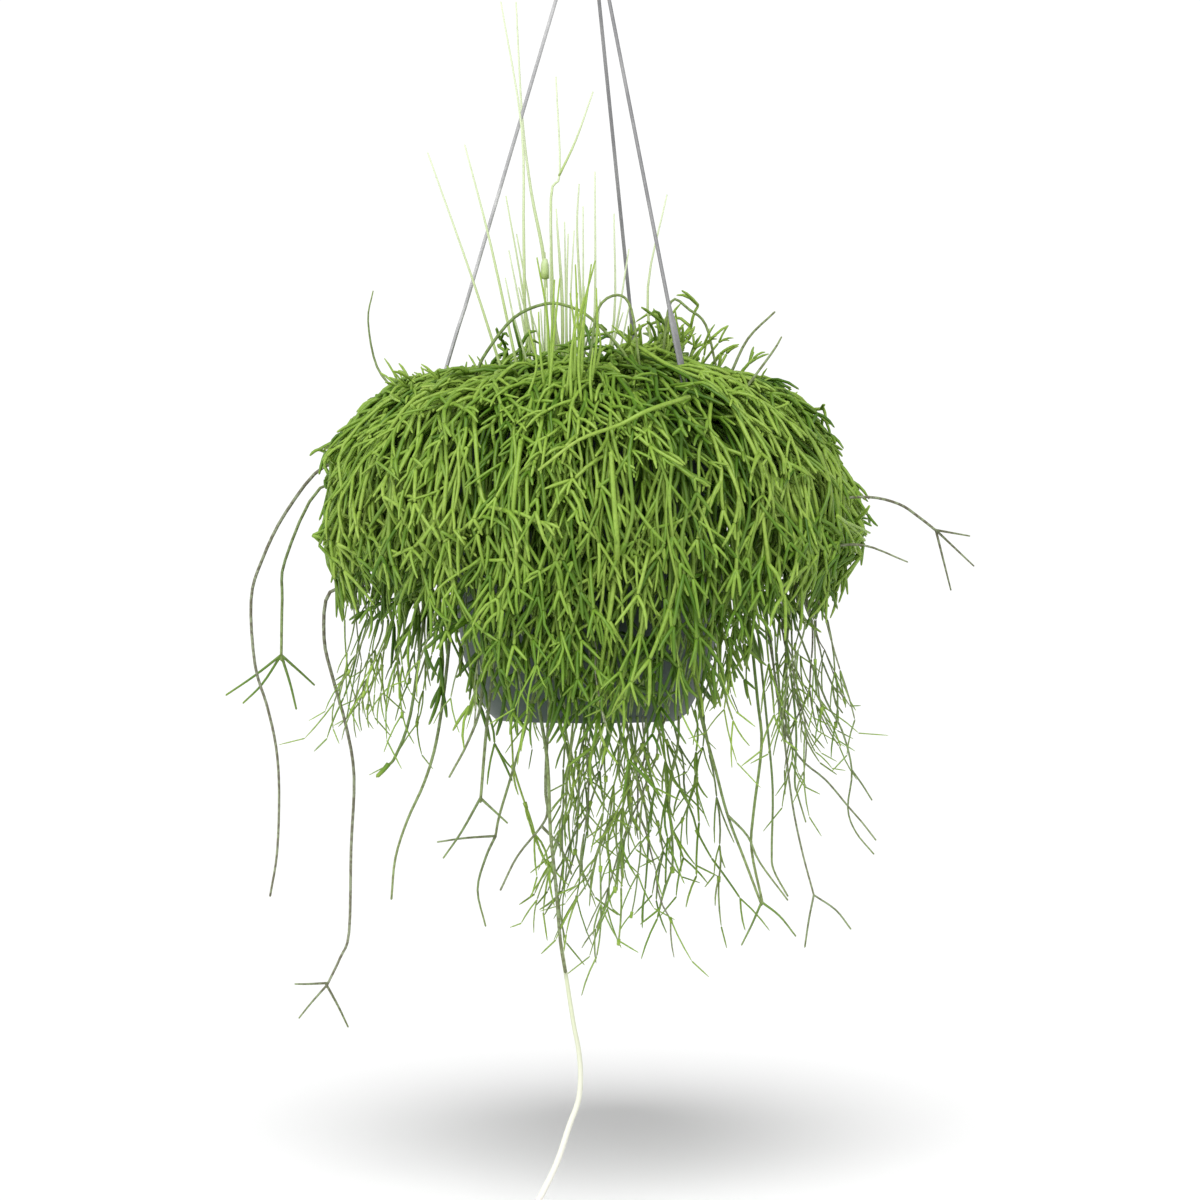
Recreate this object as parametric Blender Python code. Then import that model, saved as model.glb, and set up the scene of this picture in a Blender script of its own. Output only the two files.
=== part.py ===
# Mistletoe cactus in a hanging pot. Units are metres and +Z is up.
# The origin is the seat of the hook, where the rail that carries the plant touches it.
# +X is the photograph's right and +Y points away from its camera.
import math
import random

import bmesh
import bpy
from mathutils import Vector

# Edges shorter than this are merged away after a Boolean
SLIVER = 0.0003

# Photograph: the size of one of its pixels at the plant's axis, and where the axis and the eye are
PIXEL = 0.00058
AXIS_COLUMN = 588
HOOK_ROW = -163
EYE_ROW = 600
EYE_DISTANCE = 1.8

# Pot
RIM_TOP = -0.344
POT_HEIGHT = 0.168
POT_WALL = 0.002
POT_FLOOR = 0.0025
LIP_RADIUS = 0.087
LIP_HEIGHT = 0.006
POT_SIDE = (  # outer radius and height above the base
    (0.053, 0.0),
    (0.0575, 0.004),
    (0.0625, 0.013),
    (0.068, 0.025),
    (0.0725, 0.038),
    (0.0775, 0.072),
    (0.081, 0.118),
    (0.083, POT_HEIGHT - LIP_HEIGHT),
)
LUG_REACH = 0.0915
LUG_WIDTH = 0.014
DRAIN_RADIUS = 0.004
DRAIN_CIRCLE = 0.036
DRAIN_COUNT = 5
POT_STEPS = 32

# Soil
SOIL_BELOW_RIM = 0.012
SOIL_GAP = 0.0005
HOLE_DEPTH = 0.024

# Hanger
STRAND_ANGLES = {"hanger_strand_left": -171.1, "hanger_strand_right": -51.1, "hanger_strand_back": 68.9}
STRAND_RADIUS = 0.0011
BLADE_HALF_WIDTH = 0.0022
BLADE_HALF_THICK = 0.001
STRAND_FOOT = 0.0865
STRAND_TOP = 0.0055
BLADE_TOP = RIM_TOP + 0.058
BEND_TOP = RIM_TOP + 0.022
HUB_TOP = -0.045
HUB_THICK = 0.003
HUB_RADIUS = 0.009
HOOK_INNER = 0.014
HOOK_WIRE = 0.0024
HOOK_BEND = range(205, -46, -25)  # angles round the bend, from its open end
HOOK_END = (-0.0022, -0.004)  # the open end, from the first of them
SHANK = ((0.0045, -0.0012), (0.0, -0.005))  # sideways from the axis, and up from the foot of the bend
SEAT_GAP = 0.0003

# Plant
STEM = 0.0014
ROOT_STEM = 0.0024
FINE_TIP = 0.0005
ARM_CLEAR = 0.0032
SECTOR_CLEAR = 0.0005
SPRAY_PITCH = 0.0285
HEM_PITCH = 0.025
FORK_SPREAD = 0.62
MOUND = (  # radius of the leafy mound and its height
    (0.050, -0.272),
    (0.074, -0.286),
    (0.098, -0.300),
    (0.124, -0.315),
    (0.142, -0.330),
    (0.152, -0.350),
    (0.159, -0.373),
    (0.162, -0.402),
    (0.158, -0.430),
    (0.152, -0.452),
    (0.143, -0.470),
    (0.130, -0.490),
    (0.114, -0.506),
)
CORE_OUTER = (
    (0.047, -0.301),
    (0.066, -0.304),
    (0.086, -0.312),
    (0.102, -0.328),
    (0.112, -0.352),
    (0.117, -0.380),
    (0.118, -0.408),
    (0.115, -0.434),
    (0.108, -0.452),
)
CORE_INNER = (
    (0.101, -0.446),
    (0.0965, -0.380),
    (0.0945, -0.336),
    (0.030, -0.342),
    (0.016, -0.342),
)
CORE_PLEAT = 0.0045
CORE_COLUMN = 8
# How close to the axis stems may come: above the rim, beside its lugs, beside the pot, and below it
FUNNEL_TOP = 0.046
LIP_CLEAR = 0.0965
LIP_CLEAR_HEIGHT = 0.012
LIP_CLEAR_DEPTH = 0.03
POT_CLEAR = 0.003
BELOW_POT = 0.056
# Each spray node's name, its first and last angle, how many stems root it, and its seed
SECTORS = (
    ("stems_front", -171.1, -51.1, 4, 11),
    ("stems_right", -51.1, 8.9, 2, 12),
    ("stems_back_right", 8.9, 68.9, 2, 23),
    ("stems_back", 68.9, 128.9, 2, 14),
    ("stems_left", 128.9, 188.9, 2, 15),
)
ROOT_CIRCLE = 0.046
KNOB_HOLE = 0.0056
ROOT_HOLE_GAP = 0.0006
LONG_START = (0.105, -0.432)  # radius and height inside the core where a long stem starts
LONG_FOOT = (0.066, 0.086, -0.506)  # least and largest radius, and height, where it turns down
LONG_TIP = -0.605
LONG_TIP_SPREAD = 0.035
LONG_STEP = 0.019
LONG_ANGLE = 12


def at(column, row, depth=0.0):
    """The point that shows at this pixel of the photograph, depth behind the plant's axis."""
    reach = PIXEL * (1 + depth / EYE_DISTANCE)
    eye = (HOOK_ROW - EYE_ROW) * PIXEL
    return Vector(((column - AXIS_COLUMN) * reach, depth, eye + (EYE_ROW - row) * reach))


def turned(radius, angle, z):
    return Vector((radius * math.cos(angle), radius * math.sin(angle), z))


def material(name, color, roughness, metallic=0.0):
    made = bpy.data.materials.new(name)
    made.use_nodes = True
    shader = made.node_tree.nodes["Principled BSDF"]
    shader.inputs["Base Color"].default_value = (*color, 1)
    shader.inputs["Roughness"].default_value = roughness
    shader.inputs["Metallic"].default_value = metallic
    return made


def new_object(name, mesh, mat=None):
    made = bpy.data.objects.new(name, mesh)
    bpy.context.scene.collection.objects.link(made)
    if mat:
        mesh.materials.append(mat)
    return made


def mesh_of(name, bm):
    bmesh.ops.recalc_face_normals(bm, faces=bm.faces)
    mesh = bpy.data.meshes.new(name)
    bm.to_mesh(mesh)
    bm.free()
    return mesh


def smooth(made, degrees=35):
    made.data.shade_smooth()
    made.data.set_sharp_from_angle(angle=math.radians(degrees))


def spun(name, profile, steps):
    """A closed solid turned about Z from a profile that starts and ends on the axis."""
    bm = bmesh.new()
    verts = [bm.verts.new((r, 0, z)) for r, z in profile]
    edges = [bm.edges.new(pair) for pair in zip(verts, verts[1:])]
    bmesh.ops.spin(
        bm, geom=verts + edges, axis=(0, 0, 1), cent=(0, 0, 0), steps=steps, angle=math.tau, use_merge=True
    )
    bmesh.ops.remove_doubles(bm, verts=bm.verts, dist=0.00001)
    return mesh_of(name, bm)


def cylinder(radius, low, high, x=0.0, y=0.0, sides=8):
    bm = bmesh.new()
    made = bmesh.ops.create_cone(
        bm, cap_ends=True, segments=sides, radius1=radius, radius2=radius, depth=high - low
    )
    bmesh.ops.translate(bm, verts=made["verts"], vec=(x, y, (low + high) / 2))
    return new_object("tool", mesh_of("tool", bm))


def block(low, high, angle):
    """A box from low to high, turned about Z by angle."""
    bm = bmesh.new()
    bmesh.ops.create_cube(bm, size=1)
    for v in bm.verts:
        x, y, z = ((b + a) / 2 + c * (b - a) for a, b, c in zip(low, high, v.co))
        v.co = (x * math.cos(angle) - y * math.sin(angle), x * math.sin(angle) + y * math.cos(angle), z)
    return new_object("tool", mesh_of("tool", bm))


def turns_over(vert, other, spot):
    """Whether moving vert to spot turns any of its faces round, apart from those it shares with other."""
    for face in vert.link_faces:
        if other in face.verts:
            continue
        corners = [spot if v is vert else v.co for v in face.verts]
        normal = (corners[1] - corners[0]).cross(corners[2] - corners[0])
        if normal.dot(face.normal) <= 0.3 * normal.length:
            return True
    return False


def keep_largest(bm):
    """Drops loose scraps and fills the hollows that a union seals, by keeping the largest skin."""
    left, skins = set(bm.verts), []
    while left:
        skin, edge = set(), [left.pop()]
        while edge:
            v = edge.pop()
            skin.add(v)
            near = [e.other_vert(v) for e in v.link_edges]
            edge += [n for n in near if n in left]
            left.difference_update(near)
        skins.append(skin)
    skins.sort(key=len)
    for skin in skins[:-1]:
        bmesh.ops.delete(bm, geom=list(skin), context="VERTS")


def without_slivers(mesh):
    """The mesh with the shortest edges that a Boolean leaves merged away, each only where that is safe."""
    bm = bmesh.new()
    bm.from_mesh(mesh)
    bmesh.ops.triangulate(bm, faces=bm.faces)
    for turn in range(3):
        short = sorted((e for e in bm.edges if e.calc_length() < SLIVER), key=lambda e: e.calc_length())
        for edge in short:
            if not edge.is_valid:
                continue
            a, b = edge.verts
            near = [{e.other_vert(v) for e in v.link_edges} for v in (a, b)]
            if len(near[0] & near[1]) != 2:
                continue
            for spot in (a.co.copy(), b.co.copy(), (a.co + b.co) / 2):
                if not turns_over(a, b, spot) and not turns_over(b, a, spot):
                    bmesh.ops.pointmerge(bm, verts=[a, b], merge_co=spot)
                    break
        bm.normal_update()
    keep_largest(bm)
    bm.to_mesh(mesh)
    bm.free()
    return mesh


def combine(base, tools, operation, solver="EXACT"):
    """Joins the tools to the base, or cuts them out of it, in one Boolean on a collection."""
    group = bpy.data.collections.new("tools")
    bpy.context.scene.collection.children.link(group)
    for tool in tools:
        group.objects.link(tool)
        bpy.context.scene.collection.objects.unlink(tool)
    change = base.modifiers.new("combine", "BOOLEAN")
    change.operation = operation
    change.operand_type = "COLLECTION"
    change.collection = group
    change.solver = solver
    bpy.context.view_layer.update()
    seen = base.evaluated_get(bpy.context.evaluated_depsgraph_get())
    result = bpy.data.meshes.new_from_object(seen)
    base.modifiers.clear()
    base.data = without_slivers(result)
    for tool in tools:
        bpy.data.objects.remove(tool)
    bpy.data.collections.remove(group)
    return base


def ring_axes(points):
    """Directions across a route at each of its points, carried along without twist."""
    steps = [(b - a).normalized() for a, b in zip(points, points[1:])]
    along = [steps[0]] + [(a + b).normalized() for a, b in zip(steps, steps[1:])] + [steps[-1]]
    side = along[0].orthogonal().normalized()
    axes = []
    for t in along:
        side = (side - t * side.dot(t)).normalized()
        axes.append((side, t.cross(side)))
    return axes


def loft(points, sizes, sides, axes=None):
    """A closed tube through the points. Each size is a radius, or a pair of half widths."""
    bm = bmesh.new()
    rings = []
    for p, size, (u, v) in zip(points, sizes, axes or ring_axes(points)):
        a, b = size if isinstance(size, tuple) else (size, size)
        turn = [math.tau * (k + 0.5) / sides for k in range(sides)]
        rings.append([bm.verts.new(p + u * a * math.cos(t) + v * b * math.sin(t)) for t in turn])
    for low, high in zip(rings, rings[1:]):
        for k in range(sides):
            bm.faces.new((low[k], low[(k + 1) % sides], high[(k + 1) % sides], high[k]))
    bm.faces.new(rings[0][::-1])
    bm.faces.new(rings[-1])
    return bm


def tube(points, sizes, sides=3):
    """A stem as an object of its own, with its quads split so that they stay flat."""
    bm = loft(points, sizes, sides)
    bmesh.ops.triangulate(bm, faces=bm.faces)
    return new_object("stem", mesh_of("stem", bm))


def make_pot(mat):
    base = RIM_TOP - POT_HEIGHT
    outside = [(r, base + h) for r, h in POT_SIDE]
    inside = [(r - POT_WALL, max(z, base + POT_FLOOR)) for r, z in outside]
    inside[-1] = (inside[-1][0], RIM_TOP)
    lip = [(LIP_RADIUS, RIM_TOP - LIP_HEIGHT), (LIP_RADIUS, RIM_TOP)]
    profile = [(0, base)] + outside + lip + inside[::-1] + [(0, base + POT_FLOOR)]
    pot = new_object("pot", spun("pot", profile, POT_STEPS), mat)
    angles = [math.radians(a) for a in STRAND_ANGLES.values()]
    inner = POT_SIDE[-1][0] - POT_WALL / 2
    half = LUG_WIDTH / 2
    lugs = [block((inner, -half, RIM_TOP - LIP_HEIGHT), (LUG_REACH, half, RIM_TOP), a) for a in angles]
    combine(pot, lugs, "UNION")
    slot_thick = BLADE_HALF_THICK + SEAT_GAP
    slot_half = BLADE_HALF_WIDTH + SEAT_GAP
    low = (STRAND_FOOT - slot_thick, -slot_half, RIM_TOP - 2 * LIP_HEIGHT)
    high = (STRAND_FOOT + slot_thick, slot_half, RIM_TOP + LIP_HEIGHT)
    cutters = [block(low, high, a) for a in angles]
    for k in range(DRAIN_COUNT):
        spot = turned(DRAIN_CIRCLE, math.tau * k / DRAIN_COUNT, 0)
        cutters.append(cylinder(DRAIN_RADIUS, base - 0.01, base + 0.01, spot.x, spot.y, 10))
    combine(pot, cutters, "DIFFERENCE")
    smooth(pot)
    return pot


def soil_top(radius, angle):
    """The height of the lumpy soil."""
    lumps = math.sin(5 * angle + radius * 90) + math.sin(3 * angle - radius * 140)
    return RIM_TOP - SOIL_BELOW_RIM + 0.0008 * lumps


def make_soil(mat, spots):
    base = RIM_TOP - POT_HEIGHT
    level = RIM_TOP - SOIL_BELOW_RIM
    floor = base + POT_FLOOR + SOIL_GAP
    side = [(r - POT_WALL - SOIL_GAP, base + h) for r, h in POT_SIDE if floor < base + h < level][::2]
    first, last = side[0], POT_SIDE[-1][0] - POT_WALL - SOIL_GAP - 0.001
    profile = [(0, floor), (first[0] - 0.006, floor)] + side + [(last, level)]
    profile += [(0.056, level), (0, level)]
    soil = new_object("soil", spun("soil", profile, POT_STEPS), mat)
    for v in soil.data.vertices:
        if v.co.z > level - 0.0001 and v.co.xy.length < last - 0.001:
            v.co.z = soil_top(v.co.xy.length, math.atan2(v.co.y, v.co.x))
    cutters = []
    for spot, radius in spots:
        cutters.append(cylinder(radius, level - HOLE_DEPTH, level + 0.01, spot.x, spot.y))
    combine(soil, cutters, "DIFFERENCE")
    smooth(soil, 50)
    return soil


def make_hook(mat):
    """The hook, its shank and the hub disc, which the three strands hang through."""
    ring = HOOK_INNER + HOOK_WIRE
    middle = -HOOK_INNER
    turn = [math.radians(a) for a in HOOK_BEND]
    points = [Vector((ring * math.cos(a), 0, middle + ring * math.sin(a))) for a in turn]
    points.insert(0, points[0] + Vector((HOOK_END[0], 0, HOOK_END[1])))
    points += [Vector((x, 0, middle - ring + z)) for x, z in SHANK]
    points.append(Vector((0, 0, HUB_TOP - HUB_THICK / 2)))
    hook = new_object("hook", mesh_of("hook", loft(points, [HOOK_WIRE] * len(points), 8)), mat)
    hub = cylinder(HUB_RADIUS, HUB_TOP - HUB_THICK, HUB_TOP, sides=24)
    combine(hook, [hub], "UNION")
    cutters = []
    for angle in STRAND_ANGLES.values():
        spot = turned(STRAND_TOP, math.radians(angle), 0)
        hole = STRAND_RADIUS + SEAT_GAP + 0.0001
        cutters.append(cylinder(hole, HUB_TOP - 0.01, HUB_TOP + 0.01, spot.x, spot.y, 12))
    combine(hook, cutters, "DIFFERENCE")
    smooth(hook, 50)
    return hook


def make_strand(name, angle, mat):
    """One strand of the hanger: a bead on the hub, a thin rod, and a blade that snaps through the rim."""
    out, across = turned(1, angle, 0), turned(1, angle + math.pi / 2, 0)
    slope_top = HUB_TOP - HUB_THICK - 0.002
    blade = (BLADE_HALF_THICK * 1.15, BLADE_HALF_WIDTH * 1.08)
    rod = (STRAND_RADIUS, STRAND_RADIUS)
    share = (slope_top - BLADE_TOP) / (slope_top - BEND_TOP)
    blade_start = STRAND_TOP + (STRAND_FOOT - STRAND_TOP) * share
    barb_top = RIM_TOP - LIP_HEIGHT - SEAT_GAP
    barb = (0.0021, 0.0022)
    stations = (  # distance out from the axis, height, half widths outwards and across
        (STRAND_TOP, HUB_TOP + SEAT_GAP + 0.0032, (0.0009, 0.0009)),
        (STRAND_TOP, HUB_TOP + SEAT_GAP + 0.0022, (0.0022, 0.0022)),
        (STRAND_TOP, HUB_TOP + SEAT_GAP, (0.0022, 0.0022)),
        (STRAND_TOP, HUB_TOP + SEAT_GAP - 0.0001, rod),
        (STRAND_TOP, slope_top, rod),
        (blade_start - 0.004, BLADE_TOP + 0.012, rod),
        (blade_start, BLADE_TOP, blade),
        (STRAND_FOOT, BEND_TOP, blade),
        (STRAND_FOOT, RIM_TOP + 0.002, blade),
        (STRAND_FOOT, barb_top + 0.0001, blade),
        (STRAND_FOOT + 0.0011, barb_top, barb),
        (STRAND_FOOT + 0.0006, barb_top - 0.0022, (0.0016, 0.0022)),
        (STRAND_FOOT, barb_top - 0.0045, (0.0008, 0.0018)),
    )
    points = [out * r + Vector((0, 0, z)) for r, z, size in stations]
    bm = loft(points, [size for r, z, size in stations], 8, [(out, across)] * len(points))
    strand = new_object(name, mesh_of(name, bm), mat)
    smooth(strand, 40)
    return strand


class Sector:
    """The wedge of space round the axis that one spray node keeps to."""

    def __init__(self, first, last):
        self.first, self.last = math.radians(first), math.radians(last)
        arms = [round(a % 360, 1) for a in STRAND_ANGLES.values()]
        self.clear = [ARM_CLEAR if round(a % 360, 1) in arms else SECTOR_CLEAR for a in (first, last)]
        self.inward = [turned(1, self.first + math.pi / 2, 0), turned(1, self.last - math.pi / 2, 0)]

    def span(self, radius):
        """The first and last angle at this distance from the axis."""
        low, high = (math.asin(min(1, c / radius)) for c in self.clear)
        return self.first + low, self.last - high

    def keep(self, p, margin):
        """The point, moved inside the wedge, the mound's funnel and the room outside the pot."""
        for clear, inward in zip(self.clear, self.inward):
            short = clear + margin - p.dot(inward)
            if short > 0:
                p = p + inward * short
        inner = inner_reach(p.z) + margin
        r = p.xy.length
        if r < inner:
            p = Vector((p.x * inner / r, p.y * inner / r, p.z))
        return p


def read_off(table, z):
    """The radius that a table of radius and falling height gives at z."""
    for (r1, z1), (r2, z2) in zip(table, table[1:]):
        if z >= z2:
            return r1 + (r2 - r1) * min(1, max(0, (z1 - z) / (z1 - z2)))
    return table[-1][0]


def inner_reach(z):
    """How close to the axis a stem may come: the funnel of upright shoots, the pot, and the room below it."""
    base = RIM_TOP - POT_HEIGHT
    if z > RIM_TOP + LIP_CLEAR_HEIGHT:
        return FUNNEL_TOP
    if z > base:
        beside_pot = read_off([(r, base + h) for r, h in POT_SIDE[::-1]], z) + POT_CLEAR
        return max(beside_pot, LIP_CLEAR if z > RIM_TOP - LIP_CLEAR_DEPTH else 0)
    return BELOW_POT


def core_mesh(sector, rng):
    """The dense inside of a spray node: a wedge of a thick bent shell, pleated as hanging stems are."""
    outline = CORE_OUTER + CORE_INNER
    last_outer = len(CORE_OUTER) - 1
    columns = max(4, round(math.degrees(sector.last - sector.first) / CORE_COLUMN))
    bm = bmesh.new()
    rows = []
    for c in range(columns + 1):
        column = []
        hem = rng.uniform(-0.009, 0.004)
        pleat = CORE_PLEAT * (rng.uniform(0.3, 1.5) if c % 2 else -rng.uniform(0.3, 1.5))
        sway = rng.uniform(-0.3, 0.3)
        for k, (r, z) in enumerate(outline):
            first, last = sector.span(r)
            inner_column = 0 < c < columns
            angle = first + (last - first) * (c + sway * inner_column) / columns
            if k <= last_outer and inner_column:
                r += pleat + rng.uniform(-0.003, 0.003)
                z += rng.uniform(-0.003, 0.003) if k < last_outer else 0
            if k in (last_outer, last_outer + 1):
                z += hem
            column.append(bm.verts.new(turned(r, angle, z)))
        rows.append(column)
    n = len(outline)
    for a, b in zip(rows, rows[1:]):
        for k in range(n):
            bm.faces.new((a[k], a[(k + 1) % n], b[(k + 1) % n], b[k]))
    bm.faces.new(rows[0])
    bm.faces.new(rows[-1][::-1])
    bmesh.ops.triangulate(bm, faces=bm.faces)
    return mesh_of("core", bm)


def on_core(share):
    """Radius, height, outward normal and downward tangent at a share of the core's outer profile."""
    legs = [math.dist(a, b) for a, b in zip(CORE_OUTER, CORE_OUTER[1:])]
    left = share * sum(legs)
    for (a, b), leg in zip(zip(CORE_OUTER, CORE_OUTER[1:]), legs):
        if left <= leg:
            break
        left -= leg
    t = min(1, left / leg)
    run = ((b[0] - a[0]) / leg, (b[1] - a[1]) / leg)
    return a[0] + (b[0] - a[0]) * t, a[1] + (b[1] - a[1]) * t, (-run[1], run[0]), run


def bent(direction, rng, wander, fall):
    """A direction after a node: it wanders and falls a little."""
    push = Vector((rng.gauss(0, wander), rng.gauss(0, wander), rng.gauss(0, wander) - fall))
    return (direction + push).normalized()


def limited(p, sector, rng):
    """The point, kept in its sector and inside the mound's outline."""
    low = MOUND[-1][1]
    if p.z > low:
        most = read_off(MOUND, p.z) - rng.uniform(0, 0.006)
        r = p.xy.length
        if r > most:
            p = Vector((p.x * most / r, p.y * most / r, p.z))
    p.z = min(p.z, MOUND[0][1] + rng.uniform(-0.006, 0.002))
    return sector.keep(p, STEM * 1.4)


class Growth:
    """A branching three-sided stem, grown ring by ring in one closed mesh."""

    def __init__(self, start, direction, radius):
        self.bm = bmesh.new()
        self.root = self.ring_at(start, direction.orthogonal(), direction, radius)
        self.bm.faces.new(self.root[::-1])

    def ring_at(self, centre, outward, direction, radius):
        u = (outward - direction * outward.dot(direction)).normalized()
        w = direction.cross(u)
        turn = [math.tau * k / 3 for k in range(3)]
        return [self.bm.verts.new(centre + (u * math.cos(t) + w * math.sin(t)) * radius) for t in turn]

    def stem(self, ring, points, radius):
        """Carries the ring on through the points and returns the last ring."""
        middle = sum((v.co for v in ring), Vector()) / 3
        route = [middle] + points
        for k, point in enumerate(points):
            direction = (point - route[k]).normalized()
            if k + 1 < len(points):
                direction = (direction + (points[k + 1] - point).normalized()).normalized()
            new = self.ring_at(point, ring[0].co - middle, direction, radius)
            for a in range(3):
                b = (a + 1) % 3
                self.bm.faces.new((ring[a], ring[b], new[b]))
                self.bm.faces.new((ring[a], new[b], new[a]))
            ring, middle = new, point
        return ring

    def fork(self, ring, heading, count):
        """Splits the ring into small rings for count new stems, and returns each with its way out."""
        middle = sum((v.co for v in ring), Vector()) / 3
        tip = self.bm.verts.new(middle + heading * STEM * 0.7)
        starts = []
        for a in range(3):
            small = [ring[a], ring[(a + 1) % 3], tip]
            if a < count:
                out = (ring[a].co + ring[(a + 1) % 3].co) / 2 - middle
                starts.append((small, (heading + out.normalized() * FORK_SPREAD).normalized()))
            else:
                self.bm.faces.new(small)
        return starts

    def close(self, ring):
        self.bm.faces.new(ring)

    def object(self):
        return new_object("stem", mesh_of("stem", self.bm))


def spray(start, direction, sector, rng, length):
    """A forked spray that stands out of the core: a jointed stem with two or three twigs at its end."""
    grown = Growth(start, direction, STEM)
    points = []
    last, d = start, direction
    for k in range(2):
        last = limited(last + d * length * rng.uniform(0.85, 1.15), sector, rng)
        points.append(last)
        d = bent(d, rng, 0.2, 0.4)
    ring = grown.stem(grown.root, points, STEM)
    heading = (points[-1] - points[-2]).normalized()
    for k, (small, way) in enumerate(grown.fork(ring, heading, rng.choice((2, 2, 3)))):
        twig = []
        last, d = points[-1], (way + Vector((0, 0, -0.25))).normalized()
        for j in range(1 if k else 2):
            last = limited(last + d * length * rng.uniform(0.75, 1.05), sector, rng)
            twig.append(last)
            d = bent(d, rng, 0.2, 0.4)
        grown.close(grown.stem(small, twig, STEM * 0.9))
    return grown.object()


def hanging(start, foot, tip, sector, rng):
    """A long thin stem: from the core in to its foot beside the pot, and down with forks on the way."""
    thick = STEM * 0.75
    grown = Growth(start, (foot - start).normalized(), thick)
    way_in = start.lerp(foot, 0.55) + Vector((0, 0, -0.004))
    ring = grown.stem(grown.root, [way_in, foot], thick)
    last = foot
    while last.z - LONG_STEP > tip:
        run = []
        for k in range(2):
            step = Vector((rng.gauss(0, 0.003), rng.gauss(0, 0.003), -LONG_STEP * rng.uniform(0.85, 1.1)))
            last = sector.keep(last + step, STEM * 1.3)
            run.append(last)
        ring = grown.stem(ring, run, thick)
        heading = (run[-1] - run[-2]).normalized()
        (ring, way), (twig, twig_way) = grown.fork(ring, heading, 2)
        end = last + (twig_way + Vector((0, 0, -0.4))).normalized() * LONG_STEP * rng.uniform(0.7, 1.0)
        grown.close(grown.stem(twig, [sector.keep(end, STEM * 1.3)], thick * 0.9))
        last = sector.keep(last + (way + Vector((0, 0, -0.8))).normalized() * LONG_STEP * 0.8, STEM * 1.3)
        ring = grown.stem(ring, [last], thick)
    grown.close(ring)
    return grown.object()


def drawn(pixels, depth, end_depth=None):
    """A route through points of the photograph, at a depth that may change evenly along it."""
    last = depth if end_depth is None else end_depth
    share = [k / max(1, len(pixels) - 1) for k in range(len(pixels))]
    return [at(c, r, depth + (last - depth) * s) for (c, r), s in zip(pixels, share)]


# Single stems that stand out in the photograph, by the pixels that they pass through
LEFT_LONG = (
    (372, 468), (325, 466), (286, 512), (262, 560), (251, 600), (255, 665),
    (267, 706), (276, 747), (279, 791), (277, 852), (270, 896),
)
LEFT_WHORL = ((372, 488), (320, 488), (285, 560), (282, 600), (281, 660))
WHORL_TWIGS = (
    ((281, 655), (254, 676), (226, 695)),
    ((281, 655), (262, 684), (243, 703)),
    ((281, 655), (290, 684), (296, 709)),
    ((281, 655), (300, 672), (314, 685)),
)
LEFT_DEEP = (
    (370, 590), (330, 592), (324, 638), (333, 679), (346, 726), (354, 776),
    (351, 849), (349, 932), (340, 958), (326, 987),
)
DEEP_TWIGS = (
    ((328, 983), (308, 984), (295, 984)),
    ((327, 985), (311, 1003), (299, 1018)),
    ((326, 984), (338, 1006), (348, 1027)),
)
LEFT_CURVED = ((392, 383), (377, 367), (368, 321), (373, 291))
FRONT_LONG = ((452, 618), (446, 680), (437, 741), (425, 782), (408, 820), (396, 858), (392, 899))
FRONT_SHORT = ((424, 620), (411, 714), (396, 756), (378, 776))
FRONT_HOOK = ((484, 620), (482, 700), (469, 741), (450, 777))
FRONT_FORK = ((500, 620), (488, 720), (481, 802))
FORK_TWIGS = (((481, 798), (462, 832), (444, 858)), ((481, 798), (508, 823)))
BOTTOM_LONG = (
    (540, 620), (538, 690), (548, 760), (551, 830), (556, 880), (561, 941), (566, 972), (574, 1023),
    (579, 1049), (581, 1074), (579, 1100), (570, 1125), (556, 1166), (533, 1212),
)
FRONT_ARCH = ((487, 352), (514, 318), (545, 304), (568, 306), (591, 318), (624, 352))
SMALL_ARCH = ((592, 345), (598, 310), (618, 295), (632, 310), (638, 345))
SHOOT_FAR_LEFT = ((499, 352), (474, 283), (428, 153))
SHOOT_LEFT = ((514, 345), (491, 245), (465, 145))
RIGHT_LONG = ((820, 500), (868, 497), (899, 504), (919, 517), (938, 532))
RIGHT_TWIGS = (((936, 530), (970, 536)), ((936, 530), (974, 566)), ((936, 530), (951, 590)))
RIGHT_LOW = ((820, 548), (863, 545), (908, 562))
RIGHT_ARCH = ((664, 345), (671, 302), (690, 310), (706, 325), (713, 345))
RIGHT_SPRIG = ((735, 365), (748, 339), (775, 312))
RIGHT_SPRIG_LOW = ((748, 382), (773, 352), (782, 337))
SHOOT_RIGHT = ((655, 340), (648, 287), (667, 195))
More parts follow.
